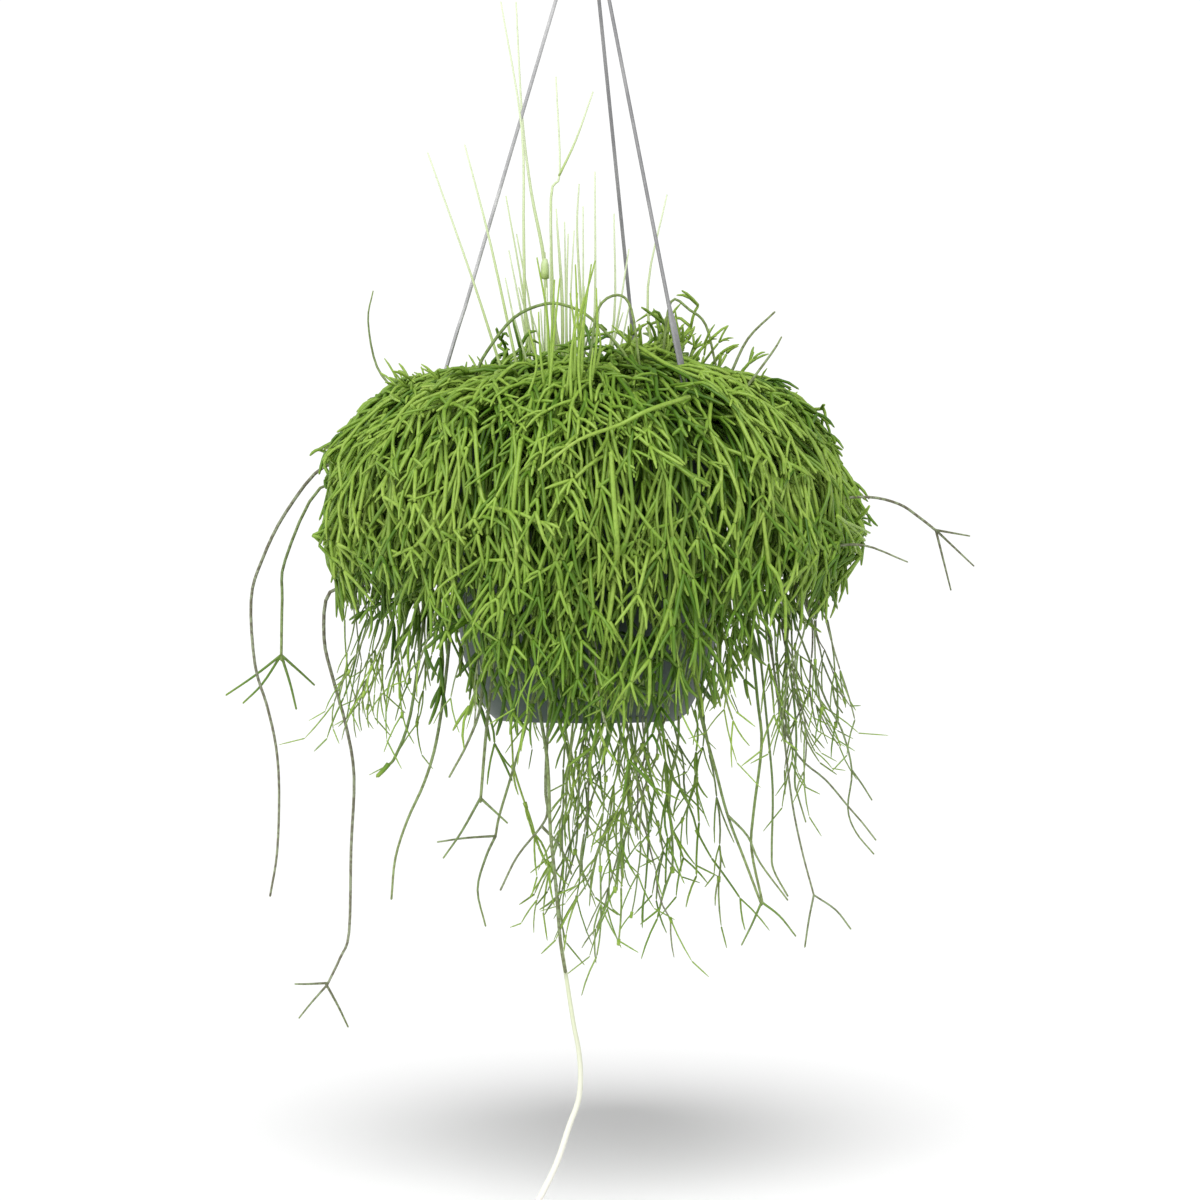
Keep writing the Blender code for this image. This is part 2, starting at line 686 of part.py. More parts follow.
# Each of them by its node: route, depth at its root and at its tip, radius at its root and at its tip
ROOTED = {
    "stems_left": (
        (LEFT_LONG, 0.004, 0.020, 0.0011, 0.0008),
        (LEFT_WHORL, 0.030, 0.034, 0.0011, 0.0009),
        (LEFT_DEEP, 0.012, 0.012, 0.0012, 0.0009),
        (LEFT_CURVED, 0.012, 0.016, 0.0011, 0.0006),
    ),
    "stems_front": (
        (FRONT_LONG, -0.075, -0.085, 0.0011, 0.0007),
        (FRONT_SHORT, -0.060, -0.072, 0.0012, 0.0013),
        (FRONT_HOOK, -0.090, -0.098, 0.0011, 0.0007),
        (FRONT_FORK, -0.094, -0.084, 0.0011, 0.0009),
        (BOTTOM_LONG, -0.106, -0.060, 0.0011, 0.0019),
        (FRONT_ARCH, -0.060, -0.062, 0.0011, 0.0010),
        (SMALL_ARCH, -0.066, -0.066, 0.0010, 0.0009),
        (SHOOT_FAR_LEFT, -0.028, -0.030, 0.0010, FINE_TIP),
        (SHOOT_LEFT, -0.040, -0.034, 0.0010, FINE_TIP),
    ),
    "stems_right": (
        (RIGHT_LONG, -0.040, -0.030, 0.0012, 0.0009),
        (RIGHT_LOW, -0.060, -0.066, 0.0011, 0.0007),
        (RIGHT_ARCH, -0.034, -0.034, 0.0011, 0.0010),
        (RIGHT_SPRIG, -0.040, -0.046, 0.0011, 0.0007),
        (RIGHT_SPRIG_LOW, -0.070, -0.074, 0.0011, 0.0007),
        (SHOOT_RIGHT, -0.020, -0.010, 0.0010, FINE_TIP),
    ),
}
FORKED = {
    "stems_left": [(t, 0.034, 0.026 + 0.008 * k, 0.0009, 0.0007) for k, t in enumerate(WHORL_TWIGS)]
    + [(t, 0.012, 0.005 + 0.008 * k, 0.0009, 0.0006) for k, t in enumerate(DEEP_TWIGS)],
    "stems_front": [(t, -0.084, -0.092, 0.0008, 0.0006) for t in FORK_TWIGS],
    "stems_right": [(t, -0.030, -0.042 + 0.012 * k, 0.0009, 0.0006) for k, t in enumerate(RIGHT_TWIGS)],
}
# Shoots that rise through the funnel: points in pixels, depth, thickness at the foot
UPRIGHT = (
    (((572, 400), (530, 344), (524, 245), (522, 130), (501, 2)), -0.019, 0.0013),
    (((572, 400), (548, 364), (545, 268), (531, 191), (522, 115), (516, 2)), 0.007, 0.0019),
    (((578, 400), (556, 330), (551, 199), (560, 172), (556, 77)), -0.012, 0.0012),
    (((586, 400), (581, 306), (577, 230), (579, 184)), 0.012, 0.0011),
    (((590, 400), (595, 306), (595, 172)), -0.004, 0.0011),
    (((596, 400), (614, 320), (614, 214)), 0.006, 0.0011),
)
UPRIGHT_FORK = (((559, 176), (593, 92)), -0.012)


def rooted(points):
    """The route with one more point before it, inside the core."""
    p = points[0]
    z = min(max(p.z, CORE_OUTER[-1][1] + 0.018), CORE_OUTER[0][1] - 0.010)
    r = min(p.xy.length, read_off(CORE_OUTER, z) - 0.011)
    return [turned(r, math.atan2(p.y, p.x), z)] + points


def marked_stems(name, sector):
    """The single stems of one spray node that the photograph shows."""
    tools = []
    for table in (ROOTED, FORKED):
        for pixels, near, far, thick, thin in table.get(name, ()):
            points = drawn(pixels, near, far)
            if table is ROOTED:
                points = rooted(points)
            n = len(points) - 1
            points = [sector.keep(p, STEM * 1.3) for p in points]
            tools.append(tube(points, [thick + (thin - thick) * k / n for k in range(n + 1)]))
    return tools


def make_stems(name, first, last, roots, mat, seed):
    """One spray node: a rough core on its root stems, with forked sprays all over it and long stems below."""
    rng = random.Random(seed)
    sector = Sector(first, last)
    core = new_object(name, core_mesh(sector, rng), mat)
    tools = []
    rows = round(sum(math.dist(a, b) for a, b in zip(CORE_OUTER, CORE_OUTER[1:])) / SPRAY_PITCH)
    for row in range(rows + 1):
        hem = row == rows
        pitch = HEM_PITCH if hem else SPRAY_PITCH
        share = 1 if hem else (row + 0.4) / rows
        low, high = sector.span(on_core(share)[0])
        count = max(1, round((high - low) * on_core(share)[0] / pitch))
        for k in range(count):
            angle = low + (high - low) * (k + 0.5 + rng.uniform(-0.3, 0.3)) / count
            shift = -0.02 if hem else rng.uniform(-0.3, 0.3) / rows
            r, z, normal, run = on_core(min(1, max(0, share + shift)))
            out = turned(normal[0], angle, normal[1])
            down = turned(run[0], angle, run[1])
            lean = turned(1, angle + math.pi / 2, 0) * rng.uniform(-0.55, 0.55)
            spread = (0.0, 0.25, 0.9, 1.0) if hem else (0.5, 0.95, 0.35, 0.8)
            d = (out * rng.uniform(*spread[:2]) + down * rng.uniform(*spread[2:]) + lean).normalized()
            start = turned(r - 0.005, angle, z + 0.011) if hem else turned(r, angle, z) - out * 0.009
            start = sector.keep(start, STEM * 1.4)
            tools.append(spray(start, d, sector, rng, rng.uniform(0.0165, 0.0215)))
    span = math.degrees(sector.last - sector.first)
    count = round(span / LONG_ANGLE)
    for k in range(count):
        low, high = sector.span(0.075)
        angle = low + (high - low) * (k + 0.5 + rng.uniform(-0.3, 0.3)) / count
        start = turned(LONG_START[0], angle, LONG_START[1])
        foot = sector.keep(turned(rng.uniform(*LONG_FOOT[:2]), angle, LONG_FOOT[2]), STEM * 1.3)
        tools.append(hanging(start, foot, LONG_TIP + rng.uniform(0, LONG_TIP_SPREAD), sector, rng))
    tools += marked_stems(name, sector)
    for spot in root_spots(first, last, roots):
        foot = Vector((spot.x, spot.y, RIM_TOP - SOIL_BELOW_RIM - HOLE_DEPTH + 0.001))
        head = Vector((spot.x * 1.1, spot.y * 1.1, RIM_TOP + 0.016))
        tools.append(tube([foot, Vector((spot.x, spot.y, RIM_TOP - 0.006)), head], [ROOT_STEM] * 3, 6))
    combine(core, tools, "UNION", "MANIFOLD")
    return core


def root_spots(first, last, roots):
    step = (last - first) / roots
    return [turned(ROOT_CIRCLE, math.radians(first + step * (k + 0.5)), 0) for k in range(roots)]


def make_upright(mat):
    """The pale new shoots that rise through the middle of the mound from one rooted knob."""
    level = RIM_TOP - SOIL_BELOW_RIM
    knob = [Vector((0, 0, level + rise)) for rise in (0.001 - HOLE_DEPTH, 0.004, 0.012)]
    base = tube(knob, [0.0045, 0.0048, 0.0036], 8)
    base.name = "upright_shoots"
    base.data.materials.append(mat)
    tools = []
    for pixels, depth, thick in UPRIGHT:
        points = [Vector((0, 0, level + 0.004))] + drawn(pixels, depth)
        n = len(points) - 1
        tools.append(tube(points, [thick + (FINE_TIP - thick) * (k / n) ** 1.5 for k in range(n + 1)], 4))
    pixels, depth = UPRIGHT_FORK
    tools.append(tube(drawn(pixels, depth), [0.0008, FINE_TIP], 4))
    combine(base, tools, "UNION", "MANIFOLD")
    return base


def main():
    for old in list(bpy.data.objects):
        bpy.data.objects.remove(old)
    pot_plastic = material("pot_plastic", (0.055, 0.085, 0.075), 0.5)
    hanger_plastic = material("hanger_plastic", (0.28, 0.28, 0.29), 0.45)
    earth = material("soil", (0.045, 0.030, 0.020), 0.95)
    green = material("stem_green", (0.16, 0.30, 0.045), 0.55)
    pale = material("pale_shoot", (0.48, 0.60, 0.28), 0.55)
    make_pot(pot_plastic)
    make_hook(hanger_plastic)
    for name, angle in STRAND_ANGLES.items():
        make_strand(name, math.radians(angle), hanger_plastic)
    spots = [(Vector(), KNOB_HOLE)]
    for name, first, last, roots, seed in SECTORS:
        spots += [(spot, ROOT_STEM + ROOT_HOLE_GAP) for spot in root_spots(first, last, roots)]
    make_soil(earth, spots)
    for name, first, last, roots, seed in SECTORS:
        make_stems(name, first, last, roots, green, seed)
    make_upright(pale)


main()
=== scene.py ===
import math
import random

import bmesh
import bpy
from mathutils import Matrix, Vector, noise


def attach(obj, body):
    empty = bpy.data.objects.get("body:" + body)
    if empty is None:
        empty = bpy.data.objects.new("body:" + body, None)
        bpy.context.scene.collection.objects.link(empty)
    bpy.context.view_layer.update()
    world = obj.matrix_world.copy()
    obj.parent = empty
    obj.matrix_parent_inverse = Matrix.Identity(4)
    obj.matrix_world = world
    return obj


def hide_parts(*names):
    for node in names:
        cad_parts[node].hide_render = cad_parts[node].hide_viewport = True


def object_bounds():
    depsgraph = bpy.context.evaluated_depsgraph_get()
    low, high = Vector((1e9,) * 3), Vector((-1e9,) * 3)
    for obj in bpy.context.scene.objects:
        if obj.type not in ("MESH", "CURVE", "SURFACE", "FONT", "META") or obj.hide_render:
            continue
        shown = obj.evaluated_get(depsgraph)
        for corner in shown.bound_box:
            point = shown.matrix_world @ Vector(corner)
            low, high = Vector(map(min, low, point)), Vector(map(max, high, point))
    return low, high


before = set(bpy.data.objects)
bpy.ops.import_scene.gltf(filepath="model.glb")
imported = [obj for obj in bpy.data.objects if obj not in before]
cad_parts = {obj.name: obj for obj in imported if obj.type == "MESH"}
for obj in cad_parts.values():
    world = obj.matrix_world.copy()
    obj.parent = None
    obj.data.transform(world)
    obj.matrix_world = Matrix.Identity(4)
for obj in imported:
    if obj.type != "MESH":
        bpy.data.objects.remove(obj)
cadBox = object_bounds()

# The photograph, 1200 pixels square; the part's origin is where the hook hangs, above its top edge

photo = {
    "pixel": 0.00058,  # its size at the plant's axis
    "axisColumn": 588,
    "hookRow": -163,
    "eyeRow": 600,
    "middleColumn": 600,
    "eyeDistance": 1.8,
}


def at(column, row, depth=0.0):
    # the place that this pixel shows, when it is this far behind the axis
    reach = photo["pixel"] * (1 + depth / photo["eyeDistance"])
    eye = (photo["hookRow"] - photo["eyeRow"]) * photo["pixel"]
    return Vector(((column - photo["axisColumn"]) * reach, depth, eye + (photo["eyeRow"] - row) * reach))


def turned(radius, angle, z=0.0):
    return Vector((radius * math.cos(angle), radius * math.sin(angle), z))


def limited(x, low=0, high=1):
    return min(high, max(low, x))


# Shader maths that reads as Python


class Value:
    def __init__(self, finish, socket):
        self.finish, self.socket = finish, socket

    def maths(self, operation, a, b, clamp=False):
        made = self.finish.node("ShaderNodeMath", {"operation": operation, "use_clamp": clamp}, {0: a, 1: b})
        return Value(self.finish, made.outputs[0])

    def __add__(self, other):
        return self.maths("ADD", self, other)

    __radd__ = __add__

    def __sub__(self, other):
        return self.maths("SUBTRACT", self, other)

    def __rsub__(self, other):
        return self.maths("SUBTRACT", other, self)

    def __mul__(self, other):
        return self.maths("MULTIPLY", self, other)

    def clamped(self):
        return self.maths("ADD", self, 0.0, clamp=True)

    def above(self, low, high):
        # 0 below low, 1 above high, smooth between them
        inputs = {"Value": self, "From Min": low, "From Max": high}
        made = self.finish.node("ShaderNodeMapRange", {"interpolation_type": "SMOOTHSTEP"}, inputs)
        return Value(self.finish, made.outputs["Result"])


class Finish:
    def __init__(self, name, roughness, specular=0.5):
        self.material = bpy.data.materials.new(name)
        self.material.use_nodes = True
        self.tree = self.material.node_tree
        self.shader = self.tree.nodes["Principled BSDF"]
        self.shader.inputs["Roughness"].default_value = roughness
        self.shader.inputs["Specular IOR Level"].default_value = specular
        self.place = self.node("ShaderNodeTexCoord").outputs["Object"]

    def node(self, kind, settings=None, inputs=None):
        made = self.tree.nodes.new(kind)
        for label, setting in (settings or {}).items():
            setattr(made, label, setting)
        for label, given in (inputs or {}).items():
            given = given.socket if isinstance(given, Value) else given
            if isinstance(given, bpy.types.NodeSocket):
                self.tree.links.new(given, made.inputs[label])
            else:
                made.inputs[label].default_value = given
        return made

    def noise(self, scale, detail, place=None, roughness=0.5):
        inputs = {"Vector": place or self.place, "Scale": scale, "Detail": detail, "Roughness": roughness}
        return Value(self, self.node("ShaderNodeTexNoise", {}, inputs).outputs["Fac"])

    def cells(self, scale):
        made = self.node("ShaderNodeTexVoronoi", {}, {"Vector": self.place, "Scale": scale})
        return Value(self, made.outputs["Distance"])

    def stretched(self, amounts):
        return self.node("ShaderNodeMapping", {}, {"Vector": self.place, "Scale": amounts}).outputs[0]

    def attribute(self, name):
        read = self.node("ShaderNodeAttribute", {"attribute_name": name})
        split = self.node("ShaderNodeSeparateColor", {}, {"Color": read.outputs["Color"]})
        return [Value(self, output) for output in split.outputs]

    def mix(self, share, a, b):
        made = self.node("ShaderNodeMix", {"data_type": "RGBA"})
        self.tree.links.new(share.socket, made.inputs["Factor"])
        for label, given in (("A", a), ("B", b)):
            socket = [s for s in made.inputs if s.name == label and s.type == "RGBA"][0]
            if isinstance(given, bpy.types.NodeSocket):
                self.tree.links.new(given, socket)
            else:
                socket.default_value = (*given, 1)
        return [s for s in made.outputs if s.type == "RGBA"][0]

    def show(self, color, roughness, height, depth, strength):
        self.tree.links.new(color, self.shader.inputs["Base Color"])
        self.tree.links.new(roughness.socket, self.shader.inputs["Roughness"])
        relief = self.node("ShaderNodeBump", {}, {"Height": height, "Distance": depth, "Strength": strength})
        self.tree.links.new(relief.outputs[0], self.shader.inputs["Normal"])
        return self.material


greens = {
    "deep": (0.050, 0.125, 0.005),
    "mid": (0.122, 0.245, 0.014),
    "fresh": (0.230, 0.362, 0.048),
    "yellow": (0.330, 0.430, 0.085),
    "woody": (0.230, 0.260, 0.165),
    "bark": (0.120, 0.115, 0.075),
}


def stemFinish():
    # growth holds each stem's age, its own shade, and the place along it; that shade is a random tone, painted
    # darker on the inner shells as shade deep in the mound
    finish = Finish("stemGreen", 0.42, 0.32)
    age, shade, along = finish.attribute("growth")
    patch = finish.noise(16, 2).above(0.42, 0.66)
    color = finish.mix((shade * 1.5 - 0.1).clamped(), greens["deep"], greens["mid"])
    # painted light: higher up the mound the stems are mixed towards fresh green, as if lit more from above
    split = finish.node("ShaderNodeSeparateXYZ", {}, {0: finish.place})
    high = Value(finish, split.outputs["Z"]).above(-0.45, -0.37)
    color = finish.mix((shade * 1.8 - 0.85 + patch * 0.35 + high * 0.30).clamped(), color, greens["fresh"])
    tip = along.above(0.55, 1.0) * 0.35 + patch * shade * 0.25
    color = finish.mix(tip.clamped(), color, greens["yellow"])
    blotch = finish.noise(420, 3)
    color = finish.mix((blotch.above(0.45, 0.75) * 0.35), color, greens["deep"])
    wood = (age * 1.25 - (1 - blotch) * 0.35).clamped()
    color = finish.mix(wood, color, finish.mix(blotch.above(0.4, 0.6), greens["woody"], greens["bark"]))
    return finish.show(color, 0.36 + blotch * 0.2 + age * 0.2, blotch, 0.0001, 0.5)


shootColors = {
    "foot": (0.36, 0.47, 0.15),
    "tip": (0.62, 0.70, 0.48),
    "shaded": (0.30, 0.42, 0.10),
    "fleck": (0.20, 0.30, 0.07),
    "old": (0.74, 0.72, 0.66),
}


def shootFinish():
    finish = Finish("paleShoot", 0.45)
    age, shade, along = finish.attribute("growth")
    color = finish.mix(along.above(0.1, 0.9), shootColors["foot"], shootColors["tip"])
    color = finish.mix(shade * 0.5, color, shootColors["shaded"])
    fleck = finish.noise(500, 2)
    color = finish.mix(fleck.above(0.5, 0.75) * 0.3, color, shootColors["fleck"])
    color = finish.mix(age.clamped(), color, shootColors["old"])
    return finish.show(color, 0.38 + fleck * 0.2, fleck, 0.0001, 0.4)


potColors = {"dark": (0.028, 0.046, 0.036), "light": (0.048, 0.072, 0.056), "dust": (0.13, 0.15, 0.13)}


def potFinish():
    finish = Finish("potPlastic", 0.5, 0.3)
    grain = finish.noise(900, 4)
    streak = finish.noise(1.0, 4, finish.stretched((55, 55, 7)))
    dust = finish.noise(38, 5).above(0.5, 0.75)
    color = finish.mix(streak, potColors["dark"], potColors["light"])
    color = finish.mix(dust * 0.22, color, potColors["dust"])
    return finish.show(color, 0.42 + grain * 0.16 + dust * 0.18, grain, 0.0002, 0.25)


def hangerFinish(name, dark, light):
    finish = Finish(name, 0.42)
    grain = finish.noise(1400, 3)
    stipple = finish.noise(520, 2).above(0.5, 0.7)
    wear = finish.noise(60, 4).above(0.4, 0.7)
    color = finish.mix((wear * 0.6 + stipple * 0.4).clamped(), dark, light)
    return finish.show(color, 0.34 + grain * 0.2 + wear * 0.1, grain + stipple * 0.4, 0.0001, 0.35)


soilColors = {"dark": (0.010, 0.006, 0.004), "light": (0.058, 0.036, 0.022)}


def soilFinish():
    finish = Finish("soil", 0.95)
    crumb = finish.noise(260, 6, roughness=0.65)
    cell = finish.cells(420)
    color = finish.mix(crumb.above(0.35, 0.68), soilColors["dark"], soilColors["light"])
    return finish.show(color, 0.85 + cell * 0.1, crumb + cell * 0.6, 0.0015, 1.0)


def grainFinish(name, dark, light):
    finish = Finish(name, 0.9)
    speck = finish.noise(700, 4)
    return finish.show(finish.mix(speck, dark, light), 0.8 + speck * 0.15, speck, 0.0003, 0.8)


stemGreen, paleShoot = stemFinish(), shootFinish()
print("finishes made")


# Pieces are bmeshes that become objects at the origin


def placed(name, data):
    made = bpy.data.objects.new(name, data)
    bpy.context.scene.collection.objects.link(made)
    return made


def placedMesh(name, bm):
    mesh = bpy.data.meshes.new(name)
    bm.to_mesh(mesh)
    bm.free()
    return placed(name, mesh)


def addPiece(name, bm, finish, nodes, smoothBelow):
    dress(placedMesh(name, bm), finish, nodes, smoothBelow)


def dress(piece, finish, nodes, smoothBelow):
    piece.data.materials.clear()
    piece.data.materials.append(finish)
    piece.data.shade_smooth()
    piece.data.set_sharp_from_angle(angle=math.radians(smoothBelow))
    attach(piece, "root")
    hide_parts(*nodes)


def spunProfile(bm, profile, steps):
    verts = [bm.verts.new((r, 0, z)) for r, z in profile]
    edges = [bm.edges.new(pair) for pair in zip(verts, verts[1:])]
    bmesh.ops.spin(
        bm, geom=verts + edges, axis=(0, 0, 1), cent=(0, 0, 0), steps=steps, angle=math.tau, use_merge=True
    )
    bmesh.ops.remove_doubles(bm, verts=bm.verts, dist=0.00001)
    bmesh.ops.recalc_face_normals(bm, faces=bm.faces)


class StemBundle:
    # many stems as splines of one bevelled curve, made one mesh in which each point knows its stem's growth

    def __init__(self, name, sides=6):
        self.name, self.sides = name, sides
        self.stems = []

    def add(self, points, radii, shade, ages=(0.0, 0.0)):
        self.stems.append((points, radii, shade, ages))

    def segment(self, start, end, radius, shade, age, bow=None, tip=0.9):
        # one jointed length, a little thicker where it leaves the last, gently bowed, with a blunt end;
        # each pair is a share of its length and the thickness there
        across = bow or Vector()
        points, radii = [], []
        for share, size in ((-0.03, 0.0), (0.02, 1.05), (0.35, 1.0), (0.68, 0.96), (0.95, tip), (1.0, 0.0)):
            points.append(start.lerp(end, share) + across * (4 * share * (1 - share)))
            radii.append(radius * size)
        self.add(points, radii, shade, (age, age))

    def build(self, finish, slot, nodes):
        curve = bpy.data.curves.new(self.name, "CURVE")
        curve.dimensions = "3D"
        curve.bevel_depth = 0.001  # a point's radius is told in these
        curve.bevel_resolution = self.sides // 2 - 2
        growth, poles = [], []
        for points, radii, shade, ages in self.stems:
            spline = curve.splines.new("POLY")
            spline.points.add(len(points) - 1)
            spline.points.foreach_set("co", [x for p in points for x in (*p, 1.0)])
            spline.points.foreach_set("radius", [r / curve.bevel_depth for r in radii])
            last = len(points) - 1
            for k, r in enumerate(radii):
                along = k / last
                age = ages[0] + (ages[1] - ages[0]) * along
                growth += [age, shade, along, 1.0] * self.sides
                poles += [r == 0] * self.sides
        shaped = bpy.data.objects.new(self.name, curve)
        mesh = bpy.data.meshes.new_from_object(shaped)
        bpy.data.objects.remove(shaped)
        bpy.data.curves.remove(curve)
        mesh.attributes.new("growth", "FLOAT_COLOR", "POINT").data.foreach_set("color", growth)
        bm = bmesh.new()
        bm.from_mesh(mesh)
        ends = [v for v, pole in zip(bm.verts, poles) if pole]
        bmesh.ops.remove_doubles(bm, verts=ends, dist=0.000001)
        bmesh.ops.triangulate(bm, faces=[f for f in bm.faces if len(f.verts) > 4])
        bm.to_mesh(mesh)
        bm.free()
        mesh.name = self.name
        print(self.name, len(self.stems), "stems,", sum(len(p.vertices) - 2 for p in mesh.polygons), "triangles")
        dress(placed(self.name, mesh), finish, nodes, 180)


# The mound of stems: shells one inside the other, which rise from the soil, arch over the rim and hang down

mound = {
    "profile": (  # outline of the outermost shell: radius and height
        (0.045, -0.310), (0.070, -0.3115), (0.095, -0.3155), (0.116, -0.327), (0.132, -0.341),
        (0.143, -0.358), (0.149, -0.378), (0.151, -0.398), (0.148, -0.416), (0.140, -0.434),
        (0.130, -0.451), (0.120, -0.470), (0.109, -0.490), (0.096, -0.508),
    ),
    "widest": 7,  # which of these points is the widest
    "root": (0.016, 0.046, -0.358),  # least and largest radius, and height, where strands start in the soil
    "shells": (  # share of the outline, spacing of its strands, how often a twig forks
        (1.03, 0.0200, 0.50), (1.00, 0.0078, 0.45), (0.965, 0.0076, 0.42), (0.925, 0.0076, 0.40),
        (0.875, 0.0080, 0.35), (0.82, 0.0090, 0.28), (0.76, 0.0110, 0.20), (0.69, 0.0130, 0.10),
    ),
    "spacedAt": 0.157,  # radius where the spacing is told
    "innerBelow": 0.90,  # shells inside this share are made with fewer sides
    "nesting": 1.35,  # how much lower a shell arches, the further inside it is
    "fuller": 0.014,  # how much further the mound reaches on the photograph's right
    "shoulder": (-0.345, 0.018, 0.040),  # where the right shoulder dips, over how much height, and by how much
    "tuck": (-0.412, 0.035, 0.09, 0.08),  # where the sides draw in, over how much height, how much, and more right
    "belly": (-0.42, 0.06, 0.12, -78, 40),  # the same where the front fills out, then its direction and spread
    "tilt": 0.011,  # how much higher the crown, and lower the shoulder, are on the photograph's right
    "tiltTurns": (0.092, 0.03),  # radius where the tilt starts to turn over, and in how much
    "crown": 0.1,  # height of the crown over the widest point, for the tilt and the rise
    "lumps": (0.020, 4.5, 34),  # clumps in the outline: how deep, and how close together round it and up it
    "rise": (0.008, 2, 6),  # the same for the height of a shell's crown
    "clumps": (0.022, 2.4, 9),  # and for the length of the hem
    "loose": (-0.42, 0.03, 0.018),  # height below which tips stand out further, in how much height, and how far
    "reach": 0.1695,  # the furthest that a tip may come from the axis
    "rimClear": (0.0930, -0.3375),  # radius and height that keep stems off the pot's rim
    "seed": 7,
}
hem = {  # how much shorter than the profile the stems hang, with directions in degrees and their spread
    "all": 0.008,
    "right": -0.004,
    "sides": (0.017, 0.006),  # on both sides, and more on the right
    "notch": 0.016,  # where the pot shows
    "notches": ((-128, 14), (130, 18)),
    "patches": ((0.014, 180, 40), (-0.060, -80, 38)),  # shorter on the left, longer in front
    "lowest": (-0.506, 0.034, 2.2),  # the lowest in front, how much less at the sides, and how suddenly
    "lowestLeft": (0.014, 170, 55),
    "ragged": (0.045, 1.7, 0.12),  # how much shorter a stem may be, how seldom, and the share that all hang lower
    "fullAt": -0.46,  # height where the outline's fullness is read
}
wedges = (  # piece, CAD node that it stands for, and the angle where it starts; each is 60 degrees wide
    ("FrontLeft", "stems_front", -171.1),
    ("FrontRight", "stems_front", -111.1),
    ("Right", "stems_right", -51.1),
    ("BackRight", "stems_back_right", 8.9),
    ("Back", "stems_back", 68.9),
    ("Left", "stems_left", 128.9),
)
outer = {name: StemBundle("stems" + name) for name, node, first in wedges}
inner = {name: StemBundle("innerStems" + name, 4) for name, node, first in wedges}
trailing = {name: StemBundle("trailingStems" + name) for name, node, first in wedges}
outlineByHeight = [(z, r) for r, z in mound["profile"]]


def wedgeAt(angle):
    turn = (math.degrees(angle) - wedges[0][2]) % 360
    return wedges[int(turn // 60)][0]


def bump(angle, middle, width):
    # 1 in the direction named in degrees, fading to 0 on both sides of it
    turn = (math.degrees(angle) - middle + 180) % 360 - 180
    return math.exp(-((turn / width) ** 2))


def uneven(kind, angle, along):
    depth, around, lengthwise = mound[kind]
    return depth * noise.noise(turned(around, angle, along * lengthwise))


def readOff(pairs, x):
    # the second number of the pairs where the first, which falls from pair to pair, is x
    for (x1, y1), (x2, y2) in zip(pairs, pairs[1:]):
        if x >= x2:
            return y1 + (y2 - y1) * limited((x1 - x) / (x1 - x2))
    return pairs[-1][1]


def fullness(z, angle):
    # the outline's share of the profile
    across = math.cos(angle)
    height, spread, dip = mound["shoulder"]
    full = 1 + across * (mound["fuller"] - dip * math.exp(-(((z - height) / spread) ** 2)))
    height, fall, both, right = mound["tuck"]
    full -= (both * abs(across) + right * max(0, across)) * limited((height - z) / fall)
    height, fall, front, middle, width = mound["belly"]
    return full + front * bump(angle, middle, width) * limited((height - z) / fall)


def moundRadius(z, angle):
    # the outline's distance from the axis, lumpy with the clumps that the stems make
    return fullness(z, angle) * readOff(outlineByHeight, z) + uneven("lumps", angle, z)


def hemHeight(radius, angle, rng):
    # how far down a stem hangs at this distance from the axis: in clumps, and short where the pot shows
    radius /= fullness(hem["fullAt"], angle)
    across = math.cos(angle)
    notch = hem["notch"] * max(bump(angle, *place) for place in hem["notches"])
    both, right = hem["sides"]
    side = hem["all"] + hem["right"] * across + (both + right * across) * across ** 2 + notch
    for shorter, middle, width in hem["patches"]:
        side += shorter * bump(angle, middle, width)
    lowest, less, power = hem["lowest"]
    shorter, middle, width = hem["lowestLeft"]
    lowest = lowest + less * abs(across) ** power + notch + shorter * bump(angle, middle, width)
    height = readOff(mound["profile"][mound["widest"]:], radius)
    ragged, power, longer = hem["ragged"]
    return max(lowest, height + side) + uneven("clumps", angle, radius) + ragged * (rng.random() ** power - longer)


def shellRoute(shell, angle, rng):
    # radius and height from the soil, up and over, and down to the hem of one shell
    middle = mound["profile"][mound["widest"]][1]
    lift = 1 - (1 - shell) * mound["nesting"]
    rise = uneven("rise", angle, shell)
    least, clear = mound["rimClear"]
    turns, over = mound["tiltTurns"]
    arch = []
    for r, z in mound["profile"][:mound["widest"] + 1]:
        tilt = mound["tilt"] * math.cos(angle) * (1 - 2 * limited((r - turns) / over))
        height = middle + (z - middle) * lift + (rise + tilt) * (z - middle) / mound["crown"]
        r *= shell * fullness(z, angle)
        arch.append((r, max(height, clear) if r < least else height))
    root = rng.uniform(*mound["root"][:2])
    route = [(root, mound["root"][2]), (root * 0.9 + 0.004, arch[0][1] - 0.026)] + arch
    hang = arch[-1][0]
    route.append((hang * rng.uniform(0.95, 1.02), min(hemHeight(hang, angle, rng), middle - 0.003)))
    return route


class Route:
    def __init__(self, points):
        self.points = points
        self.lengths = [0.0]
        for a, b in zip(points, points[1:]):
            self.lengths.append(self.lengths[-1] + math.dist(a, b))

    def at(self, length):
        # radius, height, and the direction there
        for k in range(1, len(self.points)):
            if length <= self.lengths[k] or k == len(self.points) - 1:
                a, b = self.points[k - 1], self.points[k]
                leg = self.lengths[k] - self.lengths[k - 1]
                share = (length - self.lengths[k - 1]) / leg
                run = ((b[0] - a[0]) / leg, (b[1] - a[1]) / leg)
                return a[0] + (b[0] - a[0]) * share, a[1] + (b[1] - a[1]) * share, run


